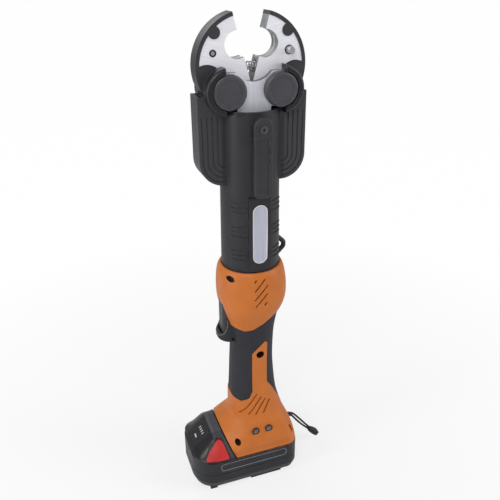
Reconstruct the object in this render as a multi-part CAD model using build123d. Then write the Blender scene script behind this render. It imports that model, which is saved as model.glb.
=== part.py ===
"""Battery crimping tool: an inline hydraulic press with two pivoting jaws.

Millimetres. The origin is where the tool axis meets the floor under the battery pack,
+Z runs up the tool axis to the jaws, -X is the trigger side and -Y the side of the rating plate.
The jaws stand open, as at rest.
"""
from build123d import *
import math
import os

os.makedirs("parts", exist_ok=True)

# Clearances
RUN_FIT = 0.05
SEAT = 0.1
CLEAR = 0.3
SLIDE_GAP = 0.5

# Battery pack
PACK_FRONT = -72.5
PACK_REAR = 41.5
PACK_HALF_WIDTH = 37.5
PACK_CORNER = 12.0
PACK_FRONT_CORNER = 24.0
PACK_WALL = 2.5
PAD_HEIGHT = 4.5
PAD_HALF_WIDTH = 32.3
FRONT_PAD = (-57.5, -50.0)
MID_PAD = (-12.0, 23.0)
TRAY_HEIGHT = 17.0
TRAY_TUCK = 3.0
TRAY_DRAFT_HEIGHT = 7.5
TRAY_FLOOR = 5.5
PACK_CAVITY_IN = 4.0
CAVITY_FRONT_CORNER = 20.0
COVER_HEIGHT = 16.5
CELL_R = 9.2
CELL_LENGTH = 64.0
CELL_PITCH = 18.6
CELL_BACK = 3.0
CELL_COUNT = 5
PACK_SCREW_IN = 8.2
PACK_SCREW_Y = 12.0
BLOCK_HEIGHT = 22.8
BLOCK_TOP_HALF = 14.0
BLOCK_SHOULDER = (27.8, 17.0)
BLOCK_SIDE_RISE = 3.0
BROW_HALF_WIDTH = 36.5
BROW_SHOULDER = (27.0, 16.5)
BLOCK_LEAN = 0.40
BLOCK_REAR_X = -30.0
NOSE_TOP_X = -49.5
NOSE_LOW_X = -70.5
NOSE_HEIGHT = 5.4
NOSE_HALF_WIDTH = 31.0
NOSE_TOP_HALF = 11.0
NOSE_SHOULDER = (22.0, 3.2)
NOSE_SIDE_RISE = 0.8
BROW_ROUND = 2.6
TOWER_HALF = 18.0
TOWER_LIP = 4.0
TOWER_NECK = 5.0
TOWER_LIP_HEIGHT = 7.0
TOWER_FRONT_X = -38.0
TOWER_REAR_X = 33.0
LATCH_TRAVEL = 3.0
LATCH_DEPTH = 16.0
LATCH_SINK = 0.4
LATCH_POINTS = ((-63.4, 1.2), (-55.2, 13.2), (-47.0, 20.3), (-41.0, 19.5), (-35.5, 1.2))
LATCH_ROUND = 2.0
GAUGE_WIDTH = 20.0
GAUGE_LENGTH = 20.0
GAUGE_THICK = 1.6
GAUGE_BUTTON = (7.0, 4.0)
GAUGE_TRAVEL = 0.8
BLADE_Y = 8.0
BLADE_THICK = 1.2
BLADE_DEPTH = 6.0
BLADE_SPAN = (-6.0, 14.0)
BLADE_SLOT = 5.0
CONTACT_THICK = 0.6

# Handle housing
FOOT_HEIGHT = 66.0
GRIP_LENGTH = 96.0
COLLAR_HEIGHT = 49.5
HOUSING_WALL = 2.5
FRONT_GAP = 1.3
GRIP_SKIN = 2.0
GRIP_SINK = 0.6
TONGUE_HALF = 13.0
TONGUE_RISE = 40.0
RAIL_SPAN = (-26.0, 34.0)
RAIL_REACH = 34.0
SCREW_R = 1.5
SCREW_HEAD_R = 2.8
SCREW_HEAD = 2.4
STRIPE_HOLE_R = 4.1
FOOT_HOLE_R = 2.9
BOSS_R = 3.6
HOUSING_BOSS_R = 5.4
SCREW_REACH = 8.0
STRIPE_HEAD_Y = -15.0
FOOT_HEAD_Y = -27.0
STRIPE_SCREW = (2.9, 152.2)
FOOT_SCREW = (-26.2, 56.0)
COLLAR_HOLE = (-26.3, 6.6)
COLLAR_HOLE_R = 2.7
COLLAR_HOLE_Y = -14.4
VENT_WIDTH = 1.6
LIGHT_X = (-6.1, 8.5)
LIGHT_Z = 63.7
LIGHT_R = 3.2
LIGHT_FACE_Y = -32.0
LIGHT_DEPTH = 6.0

# Trigger
TRIGGER_HINGE = (-25.0, 216.5)
TRIGGER_KNUCKLE_R = 3.0
TRIGGER_HALF = 9.2
TRIGGER_PIN_R = 1.5
TRIGGER_LOW_Z = 173.8
TRIGGER_FACE_X = -31.3
TRIGGER_ROUND = 4.5
TRIGGER_PIN_SEAT = 2.0
SWITCH_HALF = 5.0
SWITCH_Z = (186.0, 198.0)
POCKET_FLOOR_Z = 172.0
LIP_HALF = 11.5
LIP_FRONT_X = -35.6
LIP_WALL = 2.6
LIP_CORNER = 9.0
LIP_HOLE = (-22.2, 170.5)
LIP_HOLE_R = 1.7
POCKET_DEPTH_X = -18.6
POCKET_WALL = 2.5

# Drive in the handle
MOTOR_R = 14.8
MOTOR_WALL = 1.6
MOTOR_LENGTH = 38.0
ROTOR_R = 11.5
ROTOR_SHAFT_R = 2.5
GEARBOX_R = 16.0
GEARBOX_LENGTH = 24.0
GEARBOX_WALL = 2.5
MOTOR_BASE_Z = 166.0
DRIVE_SHAFT_R = 5.0
ECCENTRIC_R = 6.0
ECCENTRIC_OFFSET = 1.5
ECCENTRIC_LENGTH = 8.0

# Swivel and barrel
SWIVEL_NECK_R = 24.0
SWIVEL_NECK = 7.0
SWIVEL_FLANGE_R = 26.5
SWIVEL_FLANGE = 5.0
SWIVEL_DEPTH = 20.0
SWIVEL_RING_R = 29.0
BARREL_LENGTH = 147.5
BARREL_BASE_R = 27.7
BARREL_TOP_R = 26.9
BARREL_TAPER = 80.0
BARREL_WALL = 2.5
RIB_RISE = 0.8
RIB_WIDTH = 1.4
RIB_PITCH = 4.5
RIB_GROUP_DROP = 23.0
RIB_TOP_BELOW = 80.0
RIB_SPAN = (-23.5, -10.8)
PLATE_LENGTH = 57.0
PLATE_WIDTH = 14.0
PLATE_THICK = 1.0
PLATE_LOW = 9.5
PANEL_HALF = 10.5
PANEL_PROUD = 0.4
LOOP_R = 2.3
LOOP_LOW = 4.2
LOOP_HIGH = 20.0
LOOP_REACH = 34.3
LOOP_TIP = 2.2
LOOP_BEND = 2.9

# Jaw guard wings
WING_HALF = 48.5
WING_HALF_THICK = 11.0
WING_TOP_RISE = 12.0
WING_LOW_DROP = 65.0
WING_CORNER = 22.0
GROOVE_WIDTH = 1.3
GROOVE_DEPTH = 0.9
GROOVE_STEPS = (2.6, 7.1, 11.6, 16.1)
COLLAR_RING_R = 20.0
COLLAR_RING_FRONT = 20.5
COLLAR_RING_CUT = 3.5
COLLAR_RING_ROUND = 2.4
GUARD_SCREW_X = 30.5
GUARD_SCREW_DROP = 48.5
GUARD_BOSS_R = 4.0

# Jaws and pivots
PIVOT_X = 22.7
PIVOT_RISE = 15.5
PIVOT_R = 7.0
JAW_THICK = 16.0
JAW_OPEN = 15.5
JAW_ARC_R = 43.6
JAW_ARC_RISE = 13.0
JAW_MEET = 0.2
TAIL_OUT = 42.5
TAIL_END_DROP = 53.0
NEST_R = 11.0
NEST_STRAIGHT = 3.0
NEST_RISE = 31.5
NEST_GROOVE = 5.0
NEST_GROOVE_DEPTH = 1.2
MILL_DEPTH = 0.6
MILL_RIM = 3.2
MILL_LUG_R = 5.0
MILL_LUG = (19.0, 46.2)
MILL_HUB_R = 19.5
MILL_SHOULDER = (36.0, 11.5)
MILL_SHOULDER_R = 14.0
DIE_PIN_X = 24.6
DIE_PIN_R = 3.0
DIE_PIN_PROUD = 6.0
LINK_THICK = 5.5
LINK_END_R = 14.9
LINK_STEM_HALF = 15.0
LINK_DIP_R = 20.0
LINK_DIP_RISE = 7.0
CAP_R = 14.6
CAP_HEIGHT = 6.6
CAP_ROUND = 2.0
CAP_DISH_R = 10.8
CAP_DISH = 0.6
SPRING_RISE = 11.9
SPRING_POCKET_R = 5.5
SPRING_POCKET = 6.4
SPRING_COIL_R = 3.4
SPRING_WIRE_R = 0.6
SPRING_TURNS = 7

# Ram and cylinder
RAM_STROKE = 24.0
ROLLER_R = 7.0
ROLLER_X = 8.5
ROLLER_HALF = 3.7
ROLLER_SLOT_HALF = 4.0
ROLLER_PIN_R = 2.5
ROLLER_DROP = 47.5
ROLLER_STEPS = 8
RAM_HEAD_HALF = 12.0
RAM_HEAD_UP = 5.0
RAM_HEAD_DOWN = 11.0
RAM_ROD_R = 7.8
PISTON_R = 16.4
PISTON_LENGTH = 12.0
SEAL_LENGTH = 4.0
SEAL_DEPTH = 2.0
CYLINDER_R = 21.5
CYLINDER_BORE_R = 16.5
CYLINDER_FLOOR = 12.0
CYLINDER_LENGTH = 78.0
GLAND_PLUG = 12.0
GLAND_FLANGE = 12.0
FRAME_PIN_R = 2.5
FRAME_PIN_X = 11.5
RETURN_COIL_R = 12.2
RETURN_WIRE_R = 0.9
RETURN_TURNS = 7
PUMP_LENGTH = 18.0
PUMP_BORE_R = 8.0
PUMP_PISTON_R = 3.5
PUMP_PISTON_LENGTH = 10.0
BLADDER_THICK = 2.0
BLADDER_LENGTH = 30.0

# Release lever
LEVER_HALF = 8.0
LEVER_THICK = 5.0
LEVER_FACE_Y = -36.5
LEVER_TOP_DROP = 3.0
LEVER_LENGTH = 69.0
LEVER_PIVOT_DROP = 12.4
LEVER_PIVOT_Y = -28.4
LEVER_PIN_R = 1.5
LEVER_LUG_HALF = 4.5
LEVER_LUG_R = 3.2
LEVER_BOSS_HALF = 9.0
LEVER_BOSS_TOP = 3.0
LEVER_BOSS_LOW = 21.0
LEVER_BOSS_FACE_Y = -30.2
LEVER_TRAVEL = 4.0
LEVER_PANEL_DEPTH = 0.7
LEVER_PANEL_HALF = 5.2
LEVER_PANEL_LENGTH = 48.0
LEVER_SCREW_R = 3.2
LEVER_SCREW_PROUD = 0.6
PLUNGER_R = 2.5
PLUNGER_DROP = 52.0
PLUNGER_SINK = 4.2

# Wrist strap
STRAP_R = 2.0
STRAP_ROUTE = ((38.8, 48.4), (43.6, 47.5), (48.6, 43.6), (54.0, 35.8), (59.8, 28.2), (66.0, 21.2),
               (72.4, 15.2))
STRAP_TAB_END = (82.0, 7.2)
STRAP_TAB_R = 3.2
STRAP_PIN_R = 1.5
STRAP_PIN_HALF = 6.0
STRAP_HOLE_R = 2.6
STRAP_BEND = 0.45
STRAP_SLOT = (34.4, -31.0, 55.5)
STRAP_SLOT_SIZE = (3.0, 12.0, 7.5)
STRAP_SLOT_TURN = 40.0

# Stations along the axis
JOINT_Z = PAD_HEIGHT + TRAY_HEIGHT
DECK_Z = JOINT_Z + COVER_HEIGHT
FOOT_Z = DECK_Z + SLIDE_GAP
FOOT_TOP_Z = FOOT_Z + FOOT_HEIGHT
COLLAR_Z = FOOT_TOP_Z + GRIP_LENGTH
RIM_Z = COLLAR_Z + COLLAR_HEIGHT
BARREL_TOP_Z = RIM_Z + BARREL_LENGTH
PIVOT_Z = BARREL_TOP_Z + PIVOT_RISE
ROLLER_Z = PIVOT_Z - ROLLER_DROP
LINK_IN = JAW_THICK / 2 + CLEAR
LINK_OUT = LINK_IN + LINK_THICK


def save(shape, name):
    export_step(shape, "parts/%s.step" % name)


def group(solids):
    return Compound(children=list(solids))


def block(x, y, z):
    """Box between two limits on each axis."""
    size = (x[1] - x[0], y[1] - y[0], z[1] - z[0])
    middle = ((x[0] + x[1]) / 2, (y[0] + y[1]) / 2, (z[0] + z[1]) / 2)
    return Pos(*middle) * Box(*size)


def rod_z(radius, low, high, x=0.0, y=0.0):
    return Pos(x, y, (low + high) / 2) * Cylinder(radius, high - low)


def rod_y(radius, low, high, x, z):
    return Pos(x, (low + high) / 2, z) * Rot(90, 0, 0) * Cylinder(radius, high - low)


def rod_x(radius, low, high, y, z):
    return Pos((low + high) / 2, y, z) * Rot(0, 90, 0) * Cylinder(radius, high - low)


def slab_xz(face, low, high):
    """Face drawn in X and Z, made solid between two values of Y."""
    return extrude(Plane.XZ.offset(-high) * face, high - low)


def polygon(points):
    return make_face(Polyline(*points, close=True))


def rectangle(x, y):
    return Pos((x[0] + x[1]) / 2, (y[0] + y[1]) / 2) * Rectangle(x[1] - x[0], y[1] - y[0])


def disc(radius, x, y):
    return Pos(x, y) * Circle(radius)


def ring_z(outer, inner, low, high):
    return rod_z(outer, low, high) - rod_z(inner, low, high)


def fused(shapes):
    """All the shapes in one."""
    return shapes[0].fuse(*shapes[1:])


def both_sides(shape):
    """The shape and its mirror image across the jaw plane's middle, X = 0."""
    return shape + mirror(shape, Plane.YZ)


BIG = 400.0
NEAR_HALF = block((-BIG, BIG), (-BIG, 0), (-BIG, 2 * BIG))
FAR_HALF = block((-BIG, BIG), (0, BIG), (-BIG, 2 * BIG))


# Coil springs: one wire swept along quarter turns, each made of two tangent arcs

def quarter_arcs(start, start_way, end, end_way):
    chord = end - start
    both = start_way + end_way
    spread = 2 * (1 - start_way.dot(end_way))
    lean = chord.dot(both)
    reach = (-lean + math.sqrt(lean * lean + spread * chord.dot(chord))) / spread
    middle = (start + start_way * reach + end - end_way * reach) * 0.5
    first = TangentArc(start, middle, tangent=start_way)
    second = TangentArc(middle, end, tangent=first % 1)
    return [first, second]


def coil(place, way, turns, wire_radius, name):
    """Wire along place(t) with tangents way(t), t in turns, and its least gap to itself."""
    edges = []
    steps = 4 * turns
    for step in range(steps):
        edges += quarter_arcs(place(step / 4), way(step / 4), place((step + 1) / 4), way((step + 1) / 4))
    path = Wire(edges)
    points = [place(index / 16) for index in range(16 * turns + 1)]
    gap = min((points[i] - points[j]).length
              for i in range(len(points)) for j in range(i + 8, len(points))) - 2 * wire_radius
    print("%s: least gap between turns %.2f mm" % (name, gap))
    section = Plane(origin=path @ 0, z_dir=path % 0) * Circle(wire_radius)
    return sweep(section, path=path)


def straight_coil(coil_radius, wire_radius, turns, low, high, name):
    """Spring standing on the axis between two heights."""
    rise = (high - low - 2 * wire_radius) / turns
    base = low + wire_radius

    def place(t):
        angle = 2 * math.pi * t
        return Vector(coil_radius * math.cos(angle), coil_radius * math.sin(angle), base + rise * t)

    def way(t):
        angle = 2 * math.pi * t
        run = 2 * math.pi * coil_radius
        return Vector(-run * math.sin(angle), run * math.cos(angle), rise).normalized()

    return coil(place, way, turns, wire_radius, name)


# Battery pack

def rounded(front, rear, half, front_corner, rear_corner):
    """Rectangle in plan with its own corner radius at the front and at the rear."""
    shape = rectangle((front, rear), (-half, half))
    shape = fillet(shape.vertices().group_by(Axis.X)[0], front_corner)
    return fillet(shape.vertices().group_by(Axis.X)[-1], rear_corner)


def pack_outline(inset, front_corner=PACK_FRONT_CORNER):
    return rounded(PACK_FRONT + inset, PACK_REAR - inset, PACK_HALF_WIDTH - inset,
                   front_corner - inset, PACK_CORNER - inset)


def pack_prism(inset, low, high, front_corner=PACK_FRONT_CORNER):
    return extrude(Plane.XY.offset(low) * pack_outline(inset, front_corner), high - low)


def block_rear_x(z):
    return BLOCK_REAR_X - BLOCK_LEAN * (z - DECK_Z)


def arch_face(half, rise, shoulder, top_half, top):
    """Front view of the block: straight sides and an arched top."""
    low = DECK_Z - COVER_HEIGHT / 2
    shoulder_y, shoulder_z = shoulder
    edges = [Line((-half, low), (half, low)), Line((half, low), (half, rise)),
             ThreePointArc((half, rise), (shoulder_y, shoulder_z), (top_half, top)),
             Line((top_half, top), (-top_half, top)),
             ThreePointArc((-top_half, top), (-shoulder_y, shoulder_z), (-half, rise)),
             Line((-half, rise), (-half, low))]
    return make_face(edges)


def front_block(inset):
    """The raised front of the pack: an arch behind a nose that slopes down to the front."""

    def section(sizes):
        x, half, rise, shoulder_y, shoulder_rise, top_half, height = sizes
        shoulder = (shoulder_y - 0.7 * inset, DECK_Z + shoulder_rise - 0.7 * inset)
        face = arch_face(half - inset, DECK_Z + rise, shoulder, top_half, DECK_Z + height - inset)
        return Plane.YZ.offset(x) * face

    def between(first, second, part):
        return [a + (b - a) * part for a, b in zip(first, second)]

    rear_x = BLOCK_REAR_X + PACK_CORNER
    rear = (rear_x, PACK_HALF_WIDTH, BLOCK_SIDE_RISE, *BLOCK_SHOULDER, BLOCK_TOP_HALF, BLOCK_HEIGHT)
    brow = (NOSE_TOP_X, BROW_HALF_WIDTH, BLOCK_SIDE_RISE, *BROW_SHOULDER, BLOCK_TOP_HALF, BLOCK_HEIGHT)
    nose = (NOSE_LOW_X, NOSE_HALF_WIDTH, NOSE_SIDE_RISE, *NOSE_SHOULDER, NOSE_TOP_HALF, NOSE_HEIGHT)
    brow_front = between(brow, nose, BROW_ROUND / (NOSE_TOP_X - NOSE_LOW_X))
    brow_back = between(brow, rear, BROW_ROUND / (rear_x - NOSE_TOP_X))
    crest = between(brow, between(brow_front, brow_back, 0.5), 0.5)
    shape = loft([section(nose), section(brow_front)], ruled=True)
    shape += loft([section(brow_front), section(crest), section(brow_back)], ruled=True)
    shape += loft([section(brow_back), section(rear)], ruled=True)
    low = DECK_Z - COVER_HEIGHT
    top = DECK_Z + 2 * BLOCK_HEIGHT
    behind = polygon(((block_rear_x(low), low), (block_rear_x(top), top), (BIG, top), (BIG, low)))
    return (shape - slab_xz(behind, -BIG, BIG)) & pack_prism(inset, JOINT_Z, top)


def latch_face():
    points = [(x, DECK_Z + rise) for x, rise in LATCH_POINTS]
    return fillet(polygon(points).vertices(), LATCH_ROUND)


def gauge_plane():
    """Plane on the slope of the nose, facing out of it, its x axis across the pack."""
    low = Vector(NOSE_LOW_X, 0, DECK_Z + NOSE_HEIGHT)
    high = Vector(NOSE_TOP_X, 0, DECK_Z + BLOCK_HEIGHT)
    up = (high - low).normalized()
    across = Vector(0, -1, 0)
    return Plane(origin=(low + high) * 0.5, x_dir=across, z_dir=across.cross(up))


def make_battery():
    wall = PACK_WALL
    low_outline = Plane.XY.offset(PAD_HEIGHT) * pack_outline(TRAY_TUCK)
    mid_outline = Plane.XY.offset(PAD_HEIGHT + TRAY_DRAFT_HEIGHT) * pack_outline(0)
    tray = loft([low_outline, mid_outline]) + pack_prism(0, PAD_HEIGHT + TRAY_DRAFT_HEIGHT, JOINT_Z)
    floor = PAD_HEIGHT + TRAY_FLOOR
    tray -= pack_prism(PACK_CAVITY_IN, floor, JOINT_Z, CAVITY_FRONT_CORNER)
    for pad in (FRONT_PAD, MID_PAD):
        tray += block(pad, (-PAD_HALF_WIDTH, PAD_HALF_WIDTH), (0, PAD_HEIGHT))
    screw_places = [(PACK_FRONT + PACK_SCREW_IN, y) for y in (-PACK_SCREW_Y, PACK_SCREW_Y)]
    screws = []
    for x, y in screw_places:
        tray += rod_z(BOSS_R, floor, JOINT_Z, x, y)
        tray -= rod_z(SCREW_HEAD_R + SEAT, 0, floor, x, y)
        tray -= rod_z(SCREW_R + SEAT, 0, JOINT_Z, x, y)
        head = rod_z(SCREW_HEAD_R, floor - SCREW_HEAD, floor, x, y)
        screws.append(head + rod_z(SCREW_R, floor, JOINT_Z + COVER_HEIGHT / 2, x, y))

    cover = pack_prism(0, JOINT_Z, DECK_Z)
    cover = chamfer(cover.edges().group_by(Axis.Z)[0], 0.8)
    cover += front_block(0)
    tower = block((TOWER_FRONT_X, TOWER_REAR_X), (-TOWER_HALF, TOWER_HALF), (DECK_Z, DECK_Z + TOWER_NECK))
    lip_half = TOWER_HALF + TOWER_LIP
    tower_top = DECK_Z + TOWER_NECK + TOWER_LIP_HEIGHT
    tower += block((TOWER_FRONT_X, TOWER_REAR_X), (-lip_half, lip_half), (DECK_Z + TOWER_NECK, tower_top))
    cover += tower
    cover -= pack_prism(PACK_CAVITY_IN, JOINT_Z, DECK_Z - wall, CAVITY_FRONT_CORNER)
    for x, y in screw_places:
        cover += rod_z(BOSS_R, JOINT_Z, DECK_Z - wall, x, y)
        cover -= rod_z(SCREW_R + SEAT, JOINT_Z, JOINT_Z + COVER_HEIGHT / 2 + SEAT, x, y)
    contacts = []
    for side in (-1, 1):
        middle = side * BLADE_Y
        slot = (middle - BLADE_SLOT / 2, middle + BLADE_SLOT / 2)
        cover -= block((BLADE_SPAN[0] - 2, TOWER_REAR_X), slot, (DECK_Z + 1, tower_top))
        for face in (-1, 1):
            inner = middle + face * (BLADE_THICK / 2 + CLEAR)
            outer = inner + face * CONTACT_THICK
            limits = (min(inner, outer), max(inner, outer))
            contacts.append(block(BLADE_SPAN, limits, (DECK_Z + 1, tower_top - 2)))

    latches = {}
    for side, name in ((-1, "latch_button_near"), (1, "latch_button_far")):
        outer = side * PACK_HALF_WIDTH
        deep = side * (PACK_HALF_WIDTH - LATCH_DEPTH - LATCH_TRAVEL - CLEAR)
        pocket_face = offset(latch_face(), CLEAR)
        cover -= slab_xz(pocket_face, min(outer, deep), max(outer, deep))
        inner = side * (PACK_HALF_WIDTH - LATCH_DEPTH)
        button = slab_xz(latch_face(), min(outer, inner), max(outer, inner))
        latches[name] = button & front_block(LATCH_SINK)

    face = gauge_plane()
    seat = RectangleRounded(GAUGE_WIDTH + 2 * SEAT, GAUGE_LENGTH + 2 * SEAT, 2.5)
    cover -= extrude(face * seat, -GAUGE_THICK)
    button_low = -GAUGE_LENGTH / 4
    button_face = Pos(0, button_low) * RectangleRounded(GAUGE_BUTTON[0], GAUGE_BUTTON[1], 1.8)
    button_hole = offset(button_face, CLEAR)
    gauge = extrude(face * RectangleRounded(GAUGE_WIDTH, GAUGE_LENGTH, 2.4), -GAUGE_THICK + SEAT)
    gauge -= extrude(face * button_hole, -GAUGE_THICK)
    well = extrude(face * button_hole, -GAUGE_THICK - GAUGE_TRAVEL - 2 * CLEAR)
    cover -= well
    button = extrude(face * button_face, -GAUGE_THICK)
    cells = []
    for index in range(CELL_COUNT):
        x = (PACK_FRONT + PACK_REAR) / 2 + CELL_BACK + (index - (CELL_COUNT - 1) / 2) * CELL_PITCH
        cells.append(rod_y(CELL_R, -CELL_LENGTH / 2, CELL_LENGTH / 2, x, floor + CELL_R + SEAT))

    save(tray, "battery_tray")
    save(cover, "battery_cover")
    save(group(cells), "battery_cells")
    save(group(contacts), "battery_contacts")
    save(group(screws), "battery_screws")
    save(gauge, "charge_gauge")
    save(button, "gauge_button")
    for name, button in latches.items():
        save(button, name)


# Handle housing and grip

def housing_sections():
    """Height, front X, rear X, half width, front and rear corner radius of each cross section."""
    foot = ((0.0, -46.0, 41.5, 37.5, 20.0, 12.0), (9.0, -46.0, 40.4, 36.6, 23.0, 12.5),
            (16.5, -43.5, 39.0, 34.8, 26.0, 13.5), (22.5, -39.0, 37.4, 32.2, 27.5, 14.3),
            (28.0, -31.8, 35.4, 30.4, 26.0, 15.2), (33.0, -26.6, 33.2, 28.8, 24.5, 16.2),
            (38.5, -24.3, 30.9, 27.0, 22.5, 17.0), (48.0, -23.9, 28.6, 24.7, 19.0, 17.5),
            (59.5, -23.9, 26.0, 22.2, 17.5, 17.5))
    grip = ((8.0, -23.6, 24.4, 20.8, 17.8, 17.8), (26.0, -22.9, 22.9, 20.4, 17.8, 17.8),
            (46.0, -21.9, 22.3, 20.7, 18.0, 18.0), (64.0, -22.0, 22.7, 21.8, 18.5, 18.5),
            (81.0, -25.2, 24.2, 24.2, 20.0, 20.0))
    collar = ((0.0, -28.8, 27.6, 27.6, 22.0, 22.0), (10.0, -31.6, 31.8, 30.2, 24.5, 24.5),
              (22.0, -32.6, 33.6, 31.8, 26.5, 26.5), (34.0, -32.6, 33.2, 32.4, 28.5, 28.5),
              (42.0, -32.1, 32.3, 32.0, 30.0, 30.0), (46.5, -31.2, 31.2, 31.2, 30.4, 30.4),
              (COLLAR_HEIGHT, -29.6, 29.6, 29.6, 29.3, 29.3))
    sections = [(FOOT_Z + rise, *rest) for rise, *rest in foot]
    sections += [(FOOT_TOP_Z + rise, *rest) for rise, *rest in grip]
    sections += [(COLLAR_Z + rise, *rest) for rise, *rest in collar]
    return sections


def housing_form(inset):
    faces = []
    for z, front, rear, half, front_corner, rear_corner in housing_sections():
        outline = rounded(front + inset, rear - inset, half - inset,
                          front_corner - inset, rear_corner - inset)
        faces.append(Plane.XY.offset(z) * outline)
    return loft(faces)


def grip_outline():
    """Side view of the soft grip: under the collar edge, above the foot, round the stripe."""
    foot = FOOT_TOP_Z
    collar = COLLAR_Z
    points = ((-60.0, collar - 5.5), (-28.2, collar - 5.5), (-24.5, collar - 12.0),
              (-14.0, collar - 16.0), (-5.0, collar - 14.5), (4.0, collar - 9.5), (14.0, collar - 2.0),
              (24.0, collar + 3.0), (60.0, collar + 4.0), (60.0, foot - 27.0), (30.0, foot - 24.0),
              (24.0, foot - 12.0), (17.0, foot + 2.0), (10.5, foot + 12.0), (10.5, foot + 60.0),
              (8.0, foot + 63.0), (-5.6, foot + 50.0), (-5.6, foot + 3.0), (-9.0, foot - 4.0),
              (-17.0, foot - 7.5), (-25.0, foot - 6.0), (-60.0, foot - 2.0))
    return polygon(points)


def lip_form():
    """Cup under the trigger: a scoop whose rim rises to the cheeks of the trigger pocket."""
    floor = POCKET_FLOOR_Z
    rear = POCKET_DEPTH_X
    front = LIP_FRONT_X
    cheek = (-27.5, floor + 18.5)
    bend = (-31.5, floor + 6.2)
    root = (-24.0, floor - 4.0)
    edges = [Line((rear, floor + 32.0), (-27.9, floor + 32.0)), Line((-27.9, floor + 32.0), cheek),
             ThreePointArc(cheek, (-28.6, floor + 12.0), bend), Line(bend, (front, floor + 2.5)),
             Line((front, floor + 2.5), (front, floor - 1.2)),
             ThreePointArc((front, floor - 1.2), (-31.0, floor - 2.4), root),
             Line(root, (rear, floor - 6.0)), Line((rear, floor - 6.0), (rear, floor + 32.0))]
    scoop = slab_xz(make_face(edges), -LIP_HALF, LIP_HALF)
    plan = rounded(front, 0, LIP_HALF, LIP_CORNER, SEAT)
    hollow = rounded(front + LIP_WALL, 0, TRIGGER_HALF + CLEAR, TRIGGER_ROUND + CLEAR, SEAT)
    scoop &= extrude(Plane.XY.offset(floor - BIG) * plan, 2 * BIG)
    return scoop - extrude(Plane.XY.offset(floor) * hollow, BIG)


def screw_along_y(x, z, head_y, tip_y):
    head = rod_y(SCREW_HEAD_R, head_y, head_y + SCREW_HEAD, x, z)
    return head + rod_y(SCREW_R, head_y + SCREW_HEAD, tip_y, x, z)


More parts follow.
